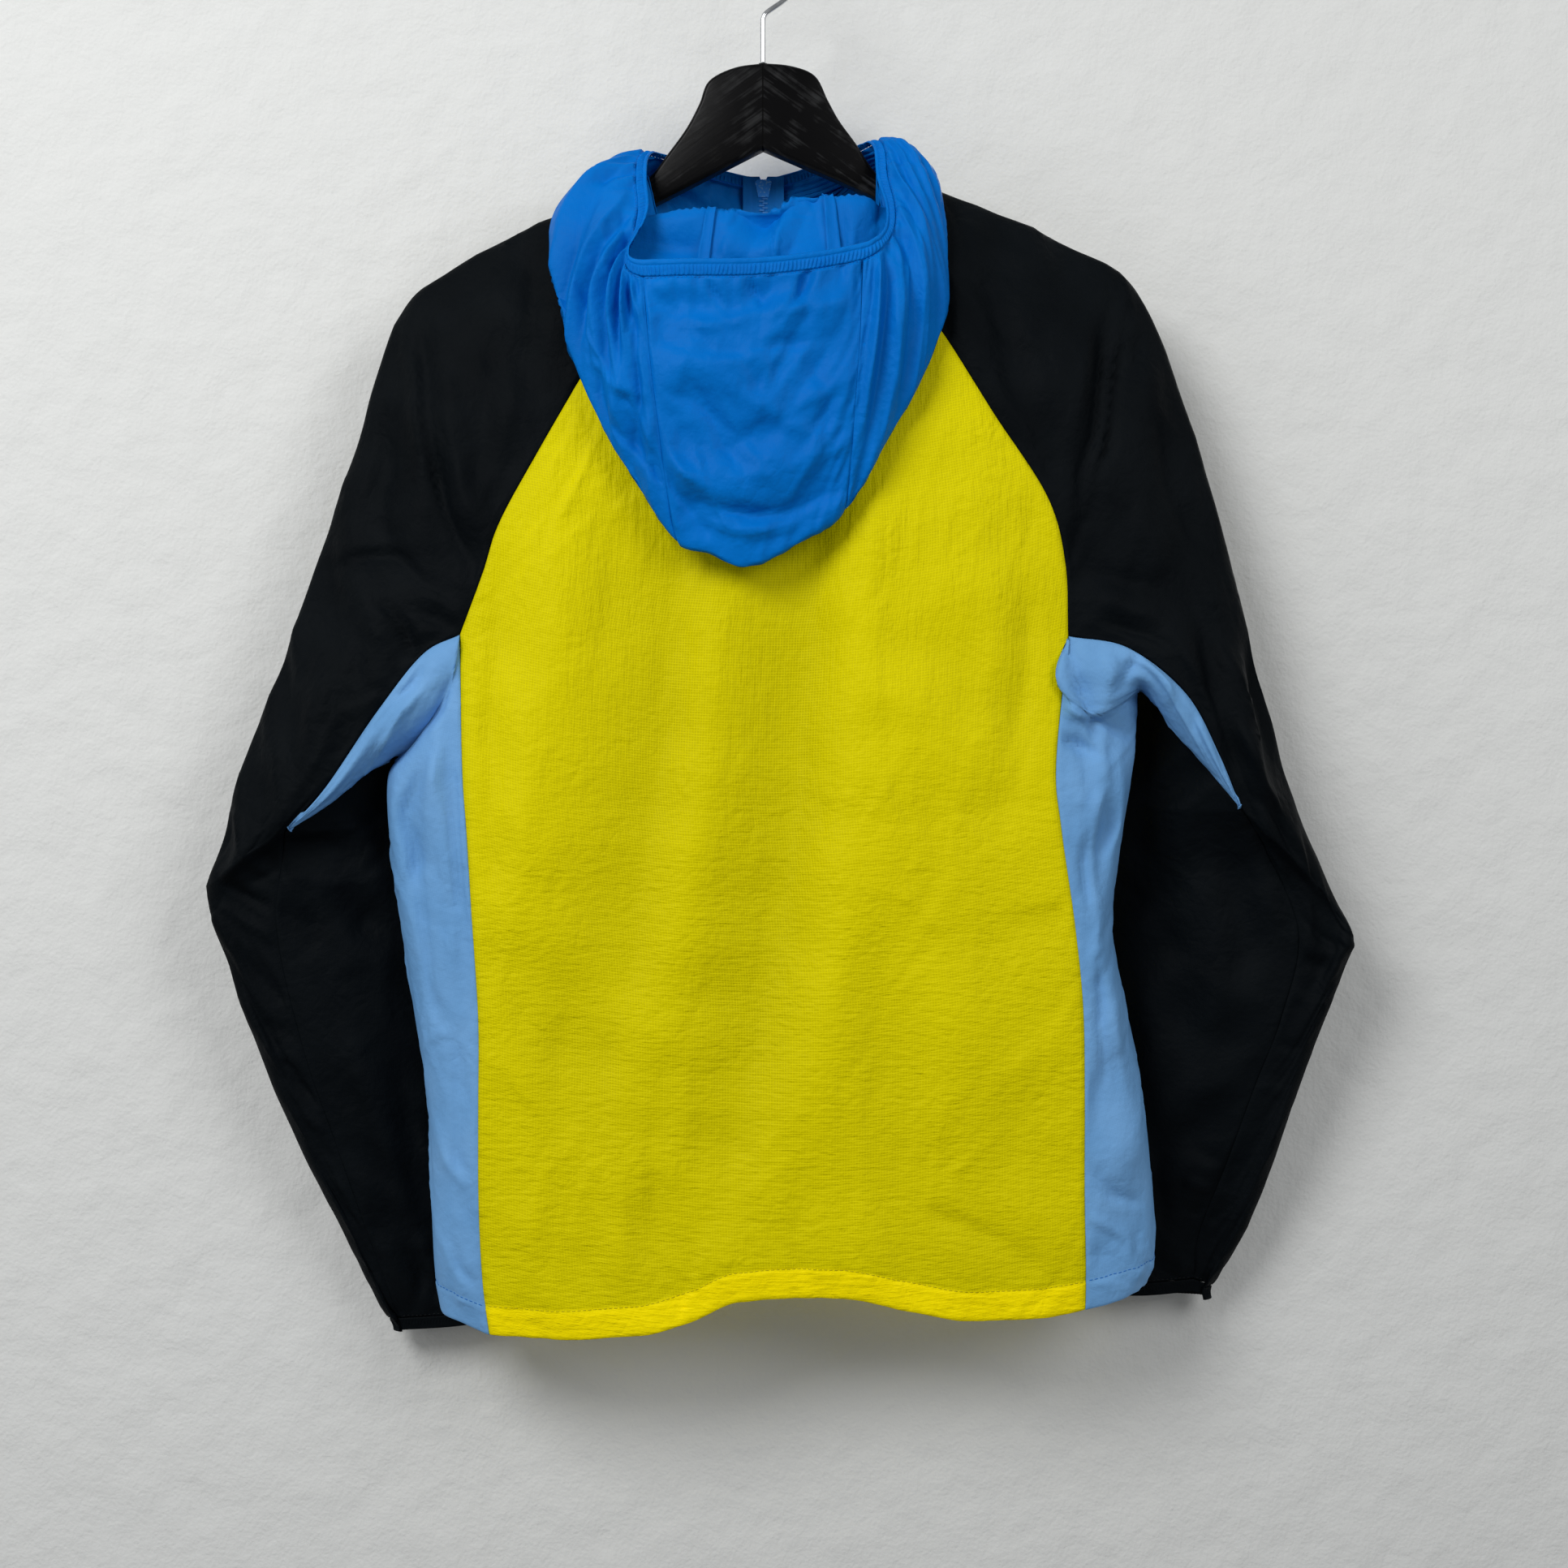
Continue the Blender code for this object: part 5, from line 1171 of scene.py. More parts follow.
def tape(side):
    """Half of the zip tape, corded along the teeth and lapped by the cloth beside it."""
    sign = -1 if side == "left" else 1
    line = zip_line() - np.array([0, TAPE_BEHIND, 0])
    spread = np.clip((line[:, 2] + 152) / 8, 0, 1) ** 2
    lap_at = 6.4 + 2.4 * np.clip((line[:, 2] + 172) / 28, 0, 1)
    distances = np.array([0.35, 0.8, 1.3, 1.9, 3.0, 4.4, 5.6, 6.2, 6.8, 7.4, 8.0, 8.6, 9.2, 10.5,
                          12.5, TAPE_WIDTH])
    grid = np.repeat(line[:, None], len(distances), axis=1)
    grid[..., 0] += sign * (distances[None] + 2.6 * spread[:, None] * (distances < 3))
    lap = 0.5 + 0.5 * np.tanh((distances[None] - lap_at[:, None]) / 0.3)
    grid[..., 1] -= 0.7 * lap * (line[:, 2] > -200)[:, None]
    grid[..., 1] += 0.35 * np.exp(-((distances - 0.9) / 0.5) ** 2)[None]
    return Cloth(grid, side == "left")


def copies(name, unit, places, finish):
    """One mesh of copies of a small shape, each turned and moved by its matrix."""
    shape = bmesh.new()
    for place in places:
        unit.transform(place)
        shape.from_mesh(unit)
        unit.transform(place.inverted())
    mesh = bpy.data.meshes.new(name)
    shape.to_mesh(mesh)
    shape.free()
    mesh.shade_smooth()
    made = make_object(name, mesh, finish)
    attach(made, "jacket")
    return made


def small_shape(kind, size, bevel=0.0):
    """A small box or bead of the given size in mm, as a mesh."""
    shape = bmesh.new()
    if kind == "box":
        bmesh.ops.create_cube(shape, size=1.0)
    else:
        bmesh.ops.create_icosphere(shape, subdivisions=1, radius=0.5)
    bmesh.ops.scale(shape, vec=[length * MM for length in size], verts=shape.verts)
    if bevel:
        bmesh.ops.bevel(shape, geom=shape.verts[:] + shape.edges[:] + shape.faces[:],
                        offset=bevel * MM, segments=1, affect="EDGES", profile=0.5, material=-1)
    mesh = bpy.data.meshes.new("unit")
    shape.to_mesh(mesh)
    shape.free()
    return mesh


def turned_to(point, along, outwards):
    """Matrix that puts a shape at a point, its X along one way and its Z outwards."""
    along = along / np.linalg.norm(along)
    across = np.cross(outwards, along)
    across /= np.linalg.norm(across)
    up = np.cross(along, across)
    made = Matrix.Identity(4)
    for axis, way in enumerate((along, across, up)):
        for row in range(3):
            made[row][axis] = way[row]
    for row in range(3):
        made[row][3] = point[row] * MM
    return made


def teeth(finish):
    """Two rows of moulded teeth that mesh below the slider, and the stops at the foot."""
    line = zip_line() - np.array([0, TAPE_BEHIND - 0.6, 0])
    line = line[line[:, 2] < SLIDER_TOP - SLIDER_HEIGHT - 0.8][::-1]
    lengths = travelled(line)
    places = []
    for number, at in enumerate(np.arange(0, lengths[-1] - 9, TOOTH_PITCH / 2)):
        sign = -1 if number % 2 else 1
        point = np.array([np.interp(at, lengths, line[:, axis]) for axis in range(3)])
        ahead = np.array([np.interp(at + 2, lengths, line[:, axis]) for axis in range(3)])
        point[0] += sign * 1.1
        places.append(turned_to(point, np.array([sign, 0, 0.0]), np.cross(ahead - point, (1, 0, 0))))
    made = copies("zip_teeth", small_shape("box", (3.6, 1.5, 2.5), 0.42), places, finish)
    foot = line[-1] + np.array([0, 0.2, 5.5])
    upright = np.array([0, 0, 1.0])
    stop = copies("zip_stop", small_shape("box", (9.5, 7.4, 3.2), 0.9),
                  [turned_to(foot, upright, np.array([0, 1.0, 0]))], finish)


def line_beside(cloth, edge, distance):
    """Points and outward ways along the line of a cloth that stays a distance off an edge."""
    grid, lengths, ways = cloth.grid, cloth.v, normals_of(cloth.grid, cloth.flip)
    if edge in ("left", "right"):
        grid, lengths, ways = grid.transpose(1, 0, 2), cloth.u.T, ways.transpose(1, 0, 2)
    points, outwards = [], []
    for number in range(grid.shape[1]):
        along = lengths[:, number]
        wanted = distance if edge in ("top", "left") else along[-1] - distance
        points.append([np.interp(wanted, along, grid[:, number, axis]) for axis in range(3)])
        outwards.append([np.interp(wanted, along, ways[:, number, axis]) for axis in range(3)])
    return np.asarray(points), np.asarray(outwards)


def stitches(name, lines, pitch, thread, finish):
    """Lockstitches along lines on the cloth, each a short bead of thread that dips at its ends."""
    places = []
    for points, outwards in lines:
        lengths = travelled(points)
        for at in np.arange(pitch, lengths[-1] - pitch / 2, pitch):
            point, ahead, out = (np.array([np.interp(spot, lengths, table[:, axis])
                                           for axis in range(3)])
                                 for spot, table in ((at, points), (at + 0.8, points),
                                                     (at, outwards)))
            places.append(turned_to(point + 0.08 * out, ahead - point, out))
    made = copies(name, small_shape("bead", (0.8 * pitch, thread, 0.8 * thread)), places, finish)
    return made


def neck_facing(finish):
    """Tape that binds the neck seam inside, below the foot of the hood."""
    loops = neck_loop()
    half = np.linspace(0.07, 1, 120)
    left = np.stack([point_at(loops["left"], share) for share in half])
    right = np.stack([point_at(loops["right"], share) for share in half[::-1]])
    loop = np.vstack([left, right[1:]])
    middle = np.array([4.0, 4.0, 0.0])
    inwards = middle - loop
    inwards[:, 2] = 0
    inwards /= np.linalg.norm(inwards, axis=1, keepdims=True)
    drops = np.linspace(0, 15, 9)
    grid = (loop + inwards * 1.9)[:, None] - np.stack([0 * drops, 0 * drops, drops + 1], axis=1)[None]
    cloth = Cloth(grid, False)
    cloth.lift(0.35 * noise(cloth.v / 7, cloth.u / 12, 81))
    made = cloth_object("neck_facing", cloth, finish, 0.4)
    return made


def seam_strips(finish):
    """Seam allowances that stand open inside the hood, one on each seam of its middle panel."""
    made = []
    for side, station in (("left", HOOD_SEAM - 0.12), ("right", HOOD_LAST - HOOD_SEAM + 0.1)):
        at = station + np.linspace(-0.24, 0.24, 7)
        grid = np.stack([hood_row(row, 3.0, 60.0, 110) for row in hood_rows(at)])
        cloth = Cloth(grid, True)
        curl = np.linspace(-1, 1, 7)[:, None] ** 2
        cloth.lift(-1.2 - 0.9 * curl * (1 + 0.6 * noise(cloth.u / 9, cloth.v, 84)))
        piece = cloth_object("hood_seam_allowance_" + side, cloth, finish, 0.3)
        made.append(piece)
    return made


# ---- materials --------------------------------------------------------------------------------

def linear(hex_colour):
    """An sRGB hex colour as the linear colour that a socket takes."""
    parts = [int(hex_colour[start:start + 2], 16) / 255 for start in (1, 3, 5)]
    return [part / 12.92 if part <= 0.04045 else ((part + 0.055) / 1.055) ** 2.4
            for part in parts] + [1.0]


def add(tree, kind, sockets=None, **settings):
    """Adds a node; sockets holds each input's value or the output that it is linked to."""
    made = tree.nodes.new("ShaderNode" + kind)
    for key, value in settings.items():
        setattr(made, key, value)
    for key, value in (sockets or {}).items():
        if isinstance(value, bpy.types.NodeSocket):
            tree.links.new(value, made.inputs[key])
        else:
            made.inputs[key].default_value = value
    return made


def new_material(name, **values):
    """An empty material and its shader, with the values of the shader's sockets."""
    made = bpy.data.materials.new(name)
    made.use_nodes = True
    shader = made.node_tree.nodes["Principled BSDF"]
    for key, value in values.items():
        shader.inputs[key.replace("_", " ")].default_value = value
    return made, made.node_tree, shader


def thread_lines(tree, pitch, width):
    """1 on lines of the cloth's grid and 0 between them; pitch and width in mm."""
    weave = add(tree, "UVMap", uv_map="weave")
    parts = add(tree, "SeparateXYZ", {0: weave.outputs[0]})
    masks = []
    for axis in (0, 1):
        swing = add(tree, "Math", {0: parts.outputs[axis], 1: pitch * MM / 2}, operation="PINGPONG")
        line = add(tree, "MapRange", {0: swing.outputs[0], 1: 0.0, 2: width * MM, 3: 1.0, 4: 0.0})
        masks.append(line.outputs[0])
    return add(tree, "Math", {0: masks[0], 1: masks[1]}, operation="MAXIMUM").outputs[0]


def blend(tree, share, low, high, kind="MIX"):
    """Colour between low and high by the share."""
    made = add(tree, "Mix", {0: share, 6: low, 7: high}, data_type="RGBA", blend_type=kind)
    return made.outputs[2]


def creased_height(tree, place, size):
    """Fine creasing that worn nylon keeps: soft dents and patches of sharp facets, size in mm."""
    bent = add(tree, "TexNoise", {"Vector": place, "Scale": 0.5 / (size * MM), "Detail": 2.0})
    moved = add(tree, "VectorMath", {0: bent.outputs["Color"], 1: [1.1 * size * MM] * 3},
                operation="MULTIPLY")
    spot = add(tree, "VectorMath", {0: place, 1: moved.outputs[0]}, operation="ADD")
    cells = add(tree, "TexVoronoi", {"Vector": spot.outputs[0], "Scale": 1 / (1.3 * size * MM)},
                feature="DISTANCE_TO_EDGE")
    patch = add(tree, "TexNoise", {"Vector": place, "Scale": 0.22 / (size * MM), "Detail": 1.0})
    share = add(tree, "MapRange", {0: patch.outputs[0], 1: 0.42, 2: 0.62, 4: 1.6})
    facets = add(tree, "Math", {0: cells.outputs[0], 1: share.outputs[0]}, operation="MULTIPLY")
    soft = add(tree, "TexNoise", {"Vector": place, "Scale": 1 / (size * 0.5 * MM), "Detail": 4.0})
    return add(tree, "Math", {0: soft.outputs[0], 1: facets.outputs[0]},
               operation="ADD").outputs[0]


def yellow_ripstop():
    """Thin coated nylon: a fine weave with a raised thread grid, softly glossy and creased, with painted shade in
    its deep folds and dirt and painted shade along its seams.
    """
    made, tree, shader = new_material("yellow ripstop nylon", Roughness=0.5,
                                      Specular_IOR_Level=0.04)
    place = add(tree, "TexCoord").outputs["Object"]
    lines = thread_lines(tree, 1.65, 0.3)
    cloud = add(tree, "TexNoise", {"Vector": place, "Scale": 14.0, "Detail": 3.0}).outputs[0]
    tone = blend(tree, cloud, linear("#CABF00"), linear("#D8CD00"))
    raised = add(tree, "Attribute", attribute_name="raised").outputs["Fac"]
    # Painted shade: the cloth turns a darker olive the deeper its relief sinks into a fold.
    trough = add(tree, "MapRange", {0: raised, 1: -14.0, 2: 1.0, 3: 0.5, 4: 0.0}).outputs[0]
    tone = blend(tree, trough, tone, linear("#A9A200"))
    double = add(tree, "Attribute", attribute_name="double").outputs["Fac"]
    tone = blend(tree, double, tone, linear(YELLOW_DOUBLE))
    faint = add(tree, "Math", {0: lines, 1: 0.45}, operation="MULTIPLY").outputs[0]
    tone = blend(tree, faint, tone, linear("#FFF400"))
    # Dirt and painted shade: the cloth darkens in the groove along each seam.
    seam = add(tree, "Attribute", attribute_name="seam").outputs["Fac"]
    worn = add(tree, "Math", {0: seam, 1: 0.3}, operation="MULTIPLY").outputs[0]
    tone = blend(tree, worn, tone, linear("#A39B00"))
    tree.links.new(tone, shader.inputs["Base Color"])
    fine = add(tree, "Bump", {"Height": lines, "Distance": 0.00014, "Strength": 0.6})
    height = creased_height(tree, place, 9.0)
    crinkle = add(tree, "Bump", {"Height": height, "Distance": 0.0011, "Strength": 0.6,
                                 "Normal": fine.outputs[0]})
    ripples = []
    for stretch in ((330, 330, 45), (80, 80, 380)):
        spread = add(tree, "Mapping", {"Vector": place, "Scale": stretch})
        ripple = add(tree, "TexNoise", {"Vector": spread.outputs[0], "Scale": 1.0, "Detail": 2.0})
        ripples.append(ripple.outputs[0])
    level = add(tree, "SeparateXYZ", {0: place}).outputs[2]
    lower = add(tree, "MapRange", {0: level, 1: -0.42, 2: -0.62}).outputs[0]
    mixed = add(tree, "Mix", {0: lower, 2: ripples[0], 3: ripples[1]}, data_type="FLOAT")
    rippled = add(tree, "Bump", {"Height": mixed.outputs[0], "Distance": 0.0012,
                                 "Strength": 0.7, "Normal": crinkle.outputs[0]})
    tree.links.new(rippled.outputs[0], shader.inputs["Normal"])
    return made


def woven(name, dark, light, pitch, roughness, sheen, crinkle_size, crinkle_depth, gloss):
    """Plain-woven polyester: small crossing threads, a soft shine and fine creasing."""
    made, tree, shader = new_material(name, Roughness=roughness, Sheen_Weight=sheen,
                                      Sheen_Roughness=0.35, Specular_IOR_Level=gloss)
    place = add(tree, "TexCoord").outputs["Object"]
    lines = thread_lines(tree, pitch, pitch * 0.45)
    cloud = add(tree, "TexNoise", {"Vector": place, "Scale": 22.0, "Detail": 4.0}).outputs[0]
    cloud = add(tree, "MapRange", {0: cloud, 1: 0.3, 2: 0.7}).outputs[0]
    tone = blend(tree, cloud, linear(dark), linear(light))
    share = add(tree, "Math", {0: lines, 1: 0.25}, operation="MULTIPLY").outputs[0]
    tone = blend(tree, share, tone, linear(light), "SCREEN")
    tree.links.new(tone, shader.inputs["Base Color"])
    fine = add(tree, "Bump", {"Height": lines, "Distance": 0.00008, "Strength": 0.45})
    height = creased_height(tree, place, crinkle_size)
    crinkle = add(tree, "Bump", {"Height": height, "Distance": crinkle_depth, "Strength": 0.6,
                                 "Normal": fine.outputs[0]})
    tree.links.new(crinkle.outputs[0], shader.inputs["Normal"])
    return made


def hanger_lacquer():
    """Black lacquer over wood: a satin gloss, worn thin and grey along edges and grain, with a painted highlight
    along the edges and a painted reflection that lightens the right half.
    """
    made, tree, shader = new_material("black lacquer on wood", Coat_Weight=0.02,
                                      Coat_Roughness=0.15, Specular_IOR_Level=0.07)
    place = add(tree, "TexCoord").outputs["Object"]
    parts = add(tree, "SeparateXYZ", {0: place})
    out = add(tree, "Math", {0: parts.outputs[0]}, operation="ABSOLUTE").outputs[0]
    even = add(tree, "CombineXYZ", {0: out, 1: parts.outputs[1], 2: parts.outputs[2]})
    turned = add(tree, "Mapping", {"Vector": even.outputs[0], "Rotation": (0, 0.6, 0),
                                   "Scale": (0.05, 0.012, 0.0018)}, vector_type="TEXTURE")
    grain = add(tree, "TexNoise", {"Vector": turned.outputs[0], "Scale": 1.0, "Detail": 6.0})
    patch = add(tree, "TexNoise", {"Vector": place, "Scale": 70.0, "Detail": 5.0})
    # Partly wear and partly a painted reflection: the right half of the hanger is lighter grey than the left.
    right = add(tree, "MapRange", {0: parts.outputs[0], 1: -0.03, 2: 0.05, 3: 0.18, 4: 0.4})
    both = add(tree, "Math", {0: grain.outputs[0], 1: patch.outputs[0]}, operation="MULTIPLY")
    worn = add(tree, "MapRange", {0: both.outputs[0], 1: 0.26, 2: 0.42})
    worn = add(tree, "Math", {0: worn.outputs[0], 1: right.outputs[0]}, operation="MULTIPLY")
    # Partly wear and partly a painted highlight: the rounded edges, which face sideways, turn lighter grey.
    facing = add(tree, "SeparateXYZ", {0: add(tree, "NewGeometry").outputs["Normal"]})
    facing = add(tree, "Math", {0: facing.outputs[1]}, operation="ABSOLUTE").outputs[0]
    edge = add(tree, "MapRange", {0: facing, 1: 0.95, 2: 0.6})
    edge = add(tree, "Math", {0: edge.outputs[0], 1: patch.outputs[0]}, operation="MULTIPLY")
    edge = add(tree, "Math", {0: edge.outputs[0], 1: right.outputs[0]}, operation="MULTIPLY")
    wear_and_highlight = add(tree, "Math", {0: worn.outputs[0], 1: edge.outputs[0]},
                 operation="ADD", use_clamp=True).outputs[0]
    tone = blend(tree, wear_and_highlight, linear("#060607"), linear("#4C4D4E"))
    joint = add(tree, "MapRange", {0: out, 1: 0.0002, 2: 0.0007, 3: 1.0, 4: 0.0}).outputs[0]
    tone = blend(tree, joint, tone, linear("#010101"))
    tree.links.new(tone, shader.inputs["Base Color"])
    rough = add(tree, "MapRange", {0: wear_and_highlight, 3: 0.32, 4: 0.6}).outputs[0]
    tree.links.new(rough, shader.inputs["Roughness"])
    bump = add(tree, "Bump", {"Height": grain.outputs[0], "Distance": 0.0002, "Strength": 0.4})
    tree.links.new(bump.outputs[0], shader.inputs["Normal"])
    return made


def chrome_wire():
    """Bright plated steel wire with fine rub marks."""
    made, tree, shader = new_material("chrome-plated steel wire", Metallic=1.0)
    place = add(tree, "TexCoord").outputs["Object"]
    rub = add(tree, "TexNoise", {"Vector": place, "Scale": 400.0, "Detail": 3.0}).outputs[0]
    tone = blend(tree, rub, linear("#C9CBCE"), linear("#E4E6E8"))
    tree.links.new(tone, shader.inputs["Base Color"])
    rough = add(tree, "MapRange", {0: rub, 3: 0.08, 4: 0.24}).outputs[0]
    tree.links.new(rough, shader.inputs["Roughness"])
    return made


def painted_metal():
    """Zinc die casting under blue paint, worn brighter in small spots."""
    made, tree, shader = new_material("blue painted zinc", Specular_IOR_Level=0.3)
    place = add(tree, "TexCoord").outputs["Object"]
    wear = add(tree, "TexNoise", {"Vector": place, "Scale": 700.0, "Detail": 4.0}).outputs[0]
    share = add(tree, "MapRange", {0: wear, 1: 0.56, 2: 0.68}).outputs[0]
    tone = blend(tree, share, linear("#2F96FF"), linear("#84C6FF"))
    tree.links.new(tone, shader.inputs["Base Color"])
    rough = add(tree, "MapRange", {0: wear, 3: 0.28, 4: 0.5}).outputs[0]
    tree.links.new(rough, shader.inputs["Roughness"])
    bump = add(tree, "Bump", {"Height": wear, "Distance": 0.0001, "Strength": 0.2})
    tree.links.new(bump.outputs[0], shader.inputs["Normal"])
    return made


def moulded_teeth():
    """Moulded polyacetal zip teeth, smooth and slightly waxy."""
    made, tree, shader = new_material("blue moulded acetal")
    place = add(tree, "TexCoord").outputs["Object"]
    cloud = add(tree, "TexNoise", {"Vector": place, "Scale": 300.0, "Detail": 2.0}).outputs[0]
    tone = blend(tree, cloud, linear("#1C74C9"), linear("#3A8BDA"))
    tree.links.new(tone, shader.inputs["Base Color"])
    rough = add(tree, "MapRange", {0: cloud, 3: 0.3, 4: 0.42}).outputs[0]
    tree.links.new(rough, shader.inputs["Roughness"])
    return made


def sewing_thread(name, dark, light):
    """Twisted polyester thread: a soft shine, with painted shade that darkens it between its plies."""
    made, tree, shader = new_material(name, Specular_IOR_Level=0.2)
    place = add(tree, "TexCoord").outputs["Object"]
    plies = add(tree, "TexNoise", {"Vector": place, "Scale": 1500.0, "Detail": 2.0}).outputs[0]
    # Painted shade: patches of the darker colour stand for the shade between the plies.
    tree.links.new(blend(tree, plies, linear(dark), linear(light)), shader.inputs["Base Color"])
    rough = add(tree, "MapRange", {0: plies, 3: 0.45, 4: 0.65}).outputs[0]
    tree.links.new(rough, shader.inputs["Roughness"])
    bump = add(tree, "Bump", {"Height": plies, "Distance": 0.0001, "Strength": 0.4})
    tree.links.new(bump.outputs[0], shader.inputs["Normal"])
    return made


def painted_wall():
    """Matt paint over uneven plaster: low soft swells under a fine grit.

    The backdrop has only its painted side, so that the front of the jacket can be seen."""
    made, tree, shader = new_material("matt wall paint", Roughness=0.9)
    place = add(tree, "TexCoord").outputs["Object"]
    cloud = add(tree, "TexNoise", {"Vector": place, "Scale": 1.6, "Detail": 3.0}).outputs[0]
    tone = blend(tree, cloud, linear("#DADBD9"), linear("#E2E3E1"))
    tree.links.new(tone, shader.inputs["Base Color"])
    grit = add(tree, "TexNoise", {"Vector": place, "Scale": 400.0, "Detail": 3.0}).outputs[0]
    swell = add(tree, "TexNoise", {"Vector": place, "Scale": 32.0, "Detail": 5.0}).outputs[0]
    fine = add(tree, "Bump", {"Height": grit, "Distance": 0.0007, "Strength": 0.6})
    bump = add(tree, "Bump", {"Height": swell, "Distance": 0.005, "Strength": 0.6,
                              "Normal": fine.outputs[0]})
    tree.links.new(bump.outputs[0], shader.inputs["Normal"])
    clear = add(tree, "BsdfTransparent").outputs[0]
    behind = add(tree, "NewGeometry").outputs["Backfacing"]
    one_sided = add(tree, "MixShader", {0: behind, 1: shader.outputs[0], 2: clear})
    tree.links.new(one_sided.outputs[0], tree.nodes["Material Output"].inputs["Surface"])
    return made


# ---- hanger and hook ------------------------------------------------------------------------

def curve_mesh(name, curve, finish, turn=(0, 0, 0), place=(0, 0, 0)):
    """A mesh object in the place of a curve, with its turn applied."""
    draft = bpy.data.objects.new(name, curve)
    draft.rotation_euler, draft.location = turn, place
    bpy.context.scene.collection.objects.link(draft)
    bpy.context.view_layer.update()
    seen = draft.evaluated_get(bpy.context.evaluated_depsgraph_get())
    mesh = bpy.data.meshes.new_from_object(seen)
    mesh.transform(draft.matrix_world)
    bpy.data.objects.remove(draft, do_unlink=True)
    shape = bmesh.new()
    shape.from_mesh(mesh)
    bmesh.ops.remove_doubles(shape, verts=shape.verts, dist=0.00001)
    bmesh.ops.recalc_face_normals(shape, faces=shape.faces)
    shape.to_mesh(mesh)
    shape.free()
    mesh.materials.clear()
    mesh.shade_smooth()
    return make_object(name, mesh, finish)


def hanger_half(side, lacquer):
    """Half of the shaped wooden hanger, its edges rounded over, its arm swept forward."""
    top, lower = HANGER_OUTLINE[side]
    inner = -math.copysign(ROUNDING, top[0][0])
    edges = []
    for edge in (top, lower):
        line = [(x if abs(x) > 1 else inner, 0, z) for x, z in edge]
        edges.extend(smooth(line, np.linspace(0, len(line) - 1, 6 * (len(line) - 1) + 1)))
    curve = bpy.data.curves.new("hanger_outline", "CURVE")
    curve.dimensions, curve.fill_mode = "2D", "BOTH"
    curve.extrude = (WOOD / 2 - ROUNDING) * MM
    curve.bevel_depth = ROUNDING * MM
    curve.offset = -ROUNDING * MM
    curve.bevel_resolution = 4
    spline = curve.splines.new("POLY")
    spline.points.add(len(edges) - 1)
    for point, (x, _, z) in zip(spline.points, edges):
        point.co = (x * MM, z * MM, 0, 1)
    spline.use_cyclic_u = True
    sweep = math.atan(ARM_SWEEP) * (-1 if side == "left" else 1)
    made = curve_mesh("hanger_wood_" + side, curve, lacquer, (math.radians(90), 0, sweep))
    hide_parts("hanger_" + side)
    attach(made, "jacket")
    return made


def hook(chrome):
    centre = -RING_RADIUS + WIRE / 2
    ring = [(RING_RADIUS * math.cos(math.radians(turn)), 0,
             centre + RING_RADIUS * math.sin(math.radians(turn))) for turn in range(-15, 211, 15)]
    route = [(x, 0, z) for x, z in HOOK_STEM] + ring
    bends = smooth(route, np.linspace(0, len(route) - 1, 240))
    curve = bpy.data.curves.new("hook_wire", "CURVE")
    curve.dimensions = "3D"
    curve.bevel_depth = WIRE / 2 * MM
    curve.bevel_resolution = 6
    curve.use_fill_caps = True
    spline = curve.splines.new("POLY")
    spline.points.add(len(bends) - 1)
    for point, bend in zip(spline.points, bends):
        point.co = (*(bend * MM), 1)
    made = curve_mesh("hook_wire", curve, chrome)
    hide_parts("hanger_hook")
    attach(made, "jacket")


# ---- stage ----------------------------------------------------------------------------------

def stage_and_light(wall_paint):
    wall = bpy.data.meshes.new("wall")
    shape = bmesh.new()
    bmesh.ops.create_grid(shape, x_segments=1, y_segments=1, size=2.5)
    bmesh.ops.rotate(shape, verts=shape.verts, matrix=Matrix.Rotation(math.pi / 2, 3, "X"))
    bmesh.ops.translate(shape, verts=shape.verts, vec=(0, WALL_Y * MM, -0.3))
    shape.to_mesh(wall)
    shape.free()
    made = make_object("backdrop_wall", wall, wall_paint)
    made.visible_shadow = False
    world = bpy.data.worlds.new("studio")
    bpy.context.scene.world = world
    world.use_nodes = True
    world.node_tree.nodes["Background"].inputs["Color"].default_value = (0.96, 0.98, 1.0, 1)
    world.node_tree.nodes["Background"].inputs["Strength"].default_value = 0.21
    for name, place, aim, size, power in (
            ("key", (-1.0, -1.55, 0.62), (0.0, 0.0, -0.5), 1.0, 27.5),
            ("left", (-1.6, -1.3, -0.4), (-0.2, 0.0, -0.5), 0.9, 4.0),
            ("right", (1.2, -1.6, 0.3), (0.25, 0.0, -0.4), 1.1, 14.0),
            ("front", (0.9, 1.9, 0.3), (0.0, 0.0, -0.4), 1.2, 20.0)):
        light = bpy.data.lights.new(name, "AREA")
        light.shape, light.size, light.energy = "DISK", size, power
        lamp = bpy.data.objects.new(name, light)
        lamp.location = place
        way = np.array(aim) - np.array(place)
        lamp.rotation_euler = (math.atan2(math.hypot(way[0], way[1]), -way[2]), 0,
                               math.atan2(-way[0], way[1]))
        bpy.context.scene.collection.objects.link(lamp)


def camera():
    lens = bpy.data.cameras.new("camera")
    lens.sensor_width = 36.0
    lens.lens = 52.17
    made = bpy.data.objects.new("camera", lens)
    made.location = (0.013, -1.4, -0.5275)
    made.rotation_euler = (math.radians(90), 0, 0)
    bpy.context.scene.collection.objects.link(made)
    bpy.context.scene.camera = made
    bpy.context.scene.view_settings.view_transform = "Standard"


WALL_Y = 68.0


def declare(node):
    """Hides the node's CAD part; a sheet of cloth cut to the table's size takes its place."""
    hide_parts(node)


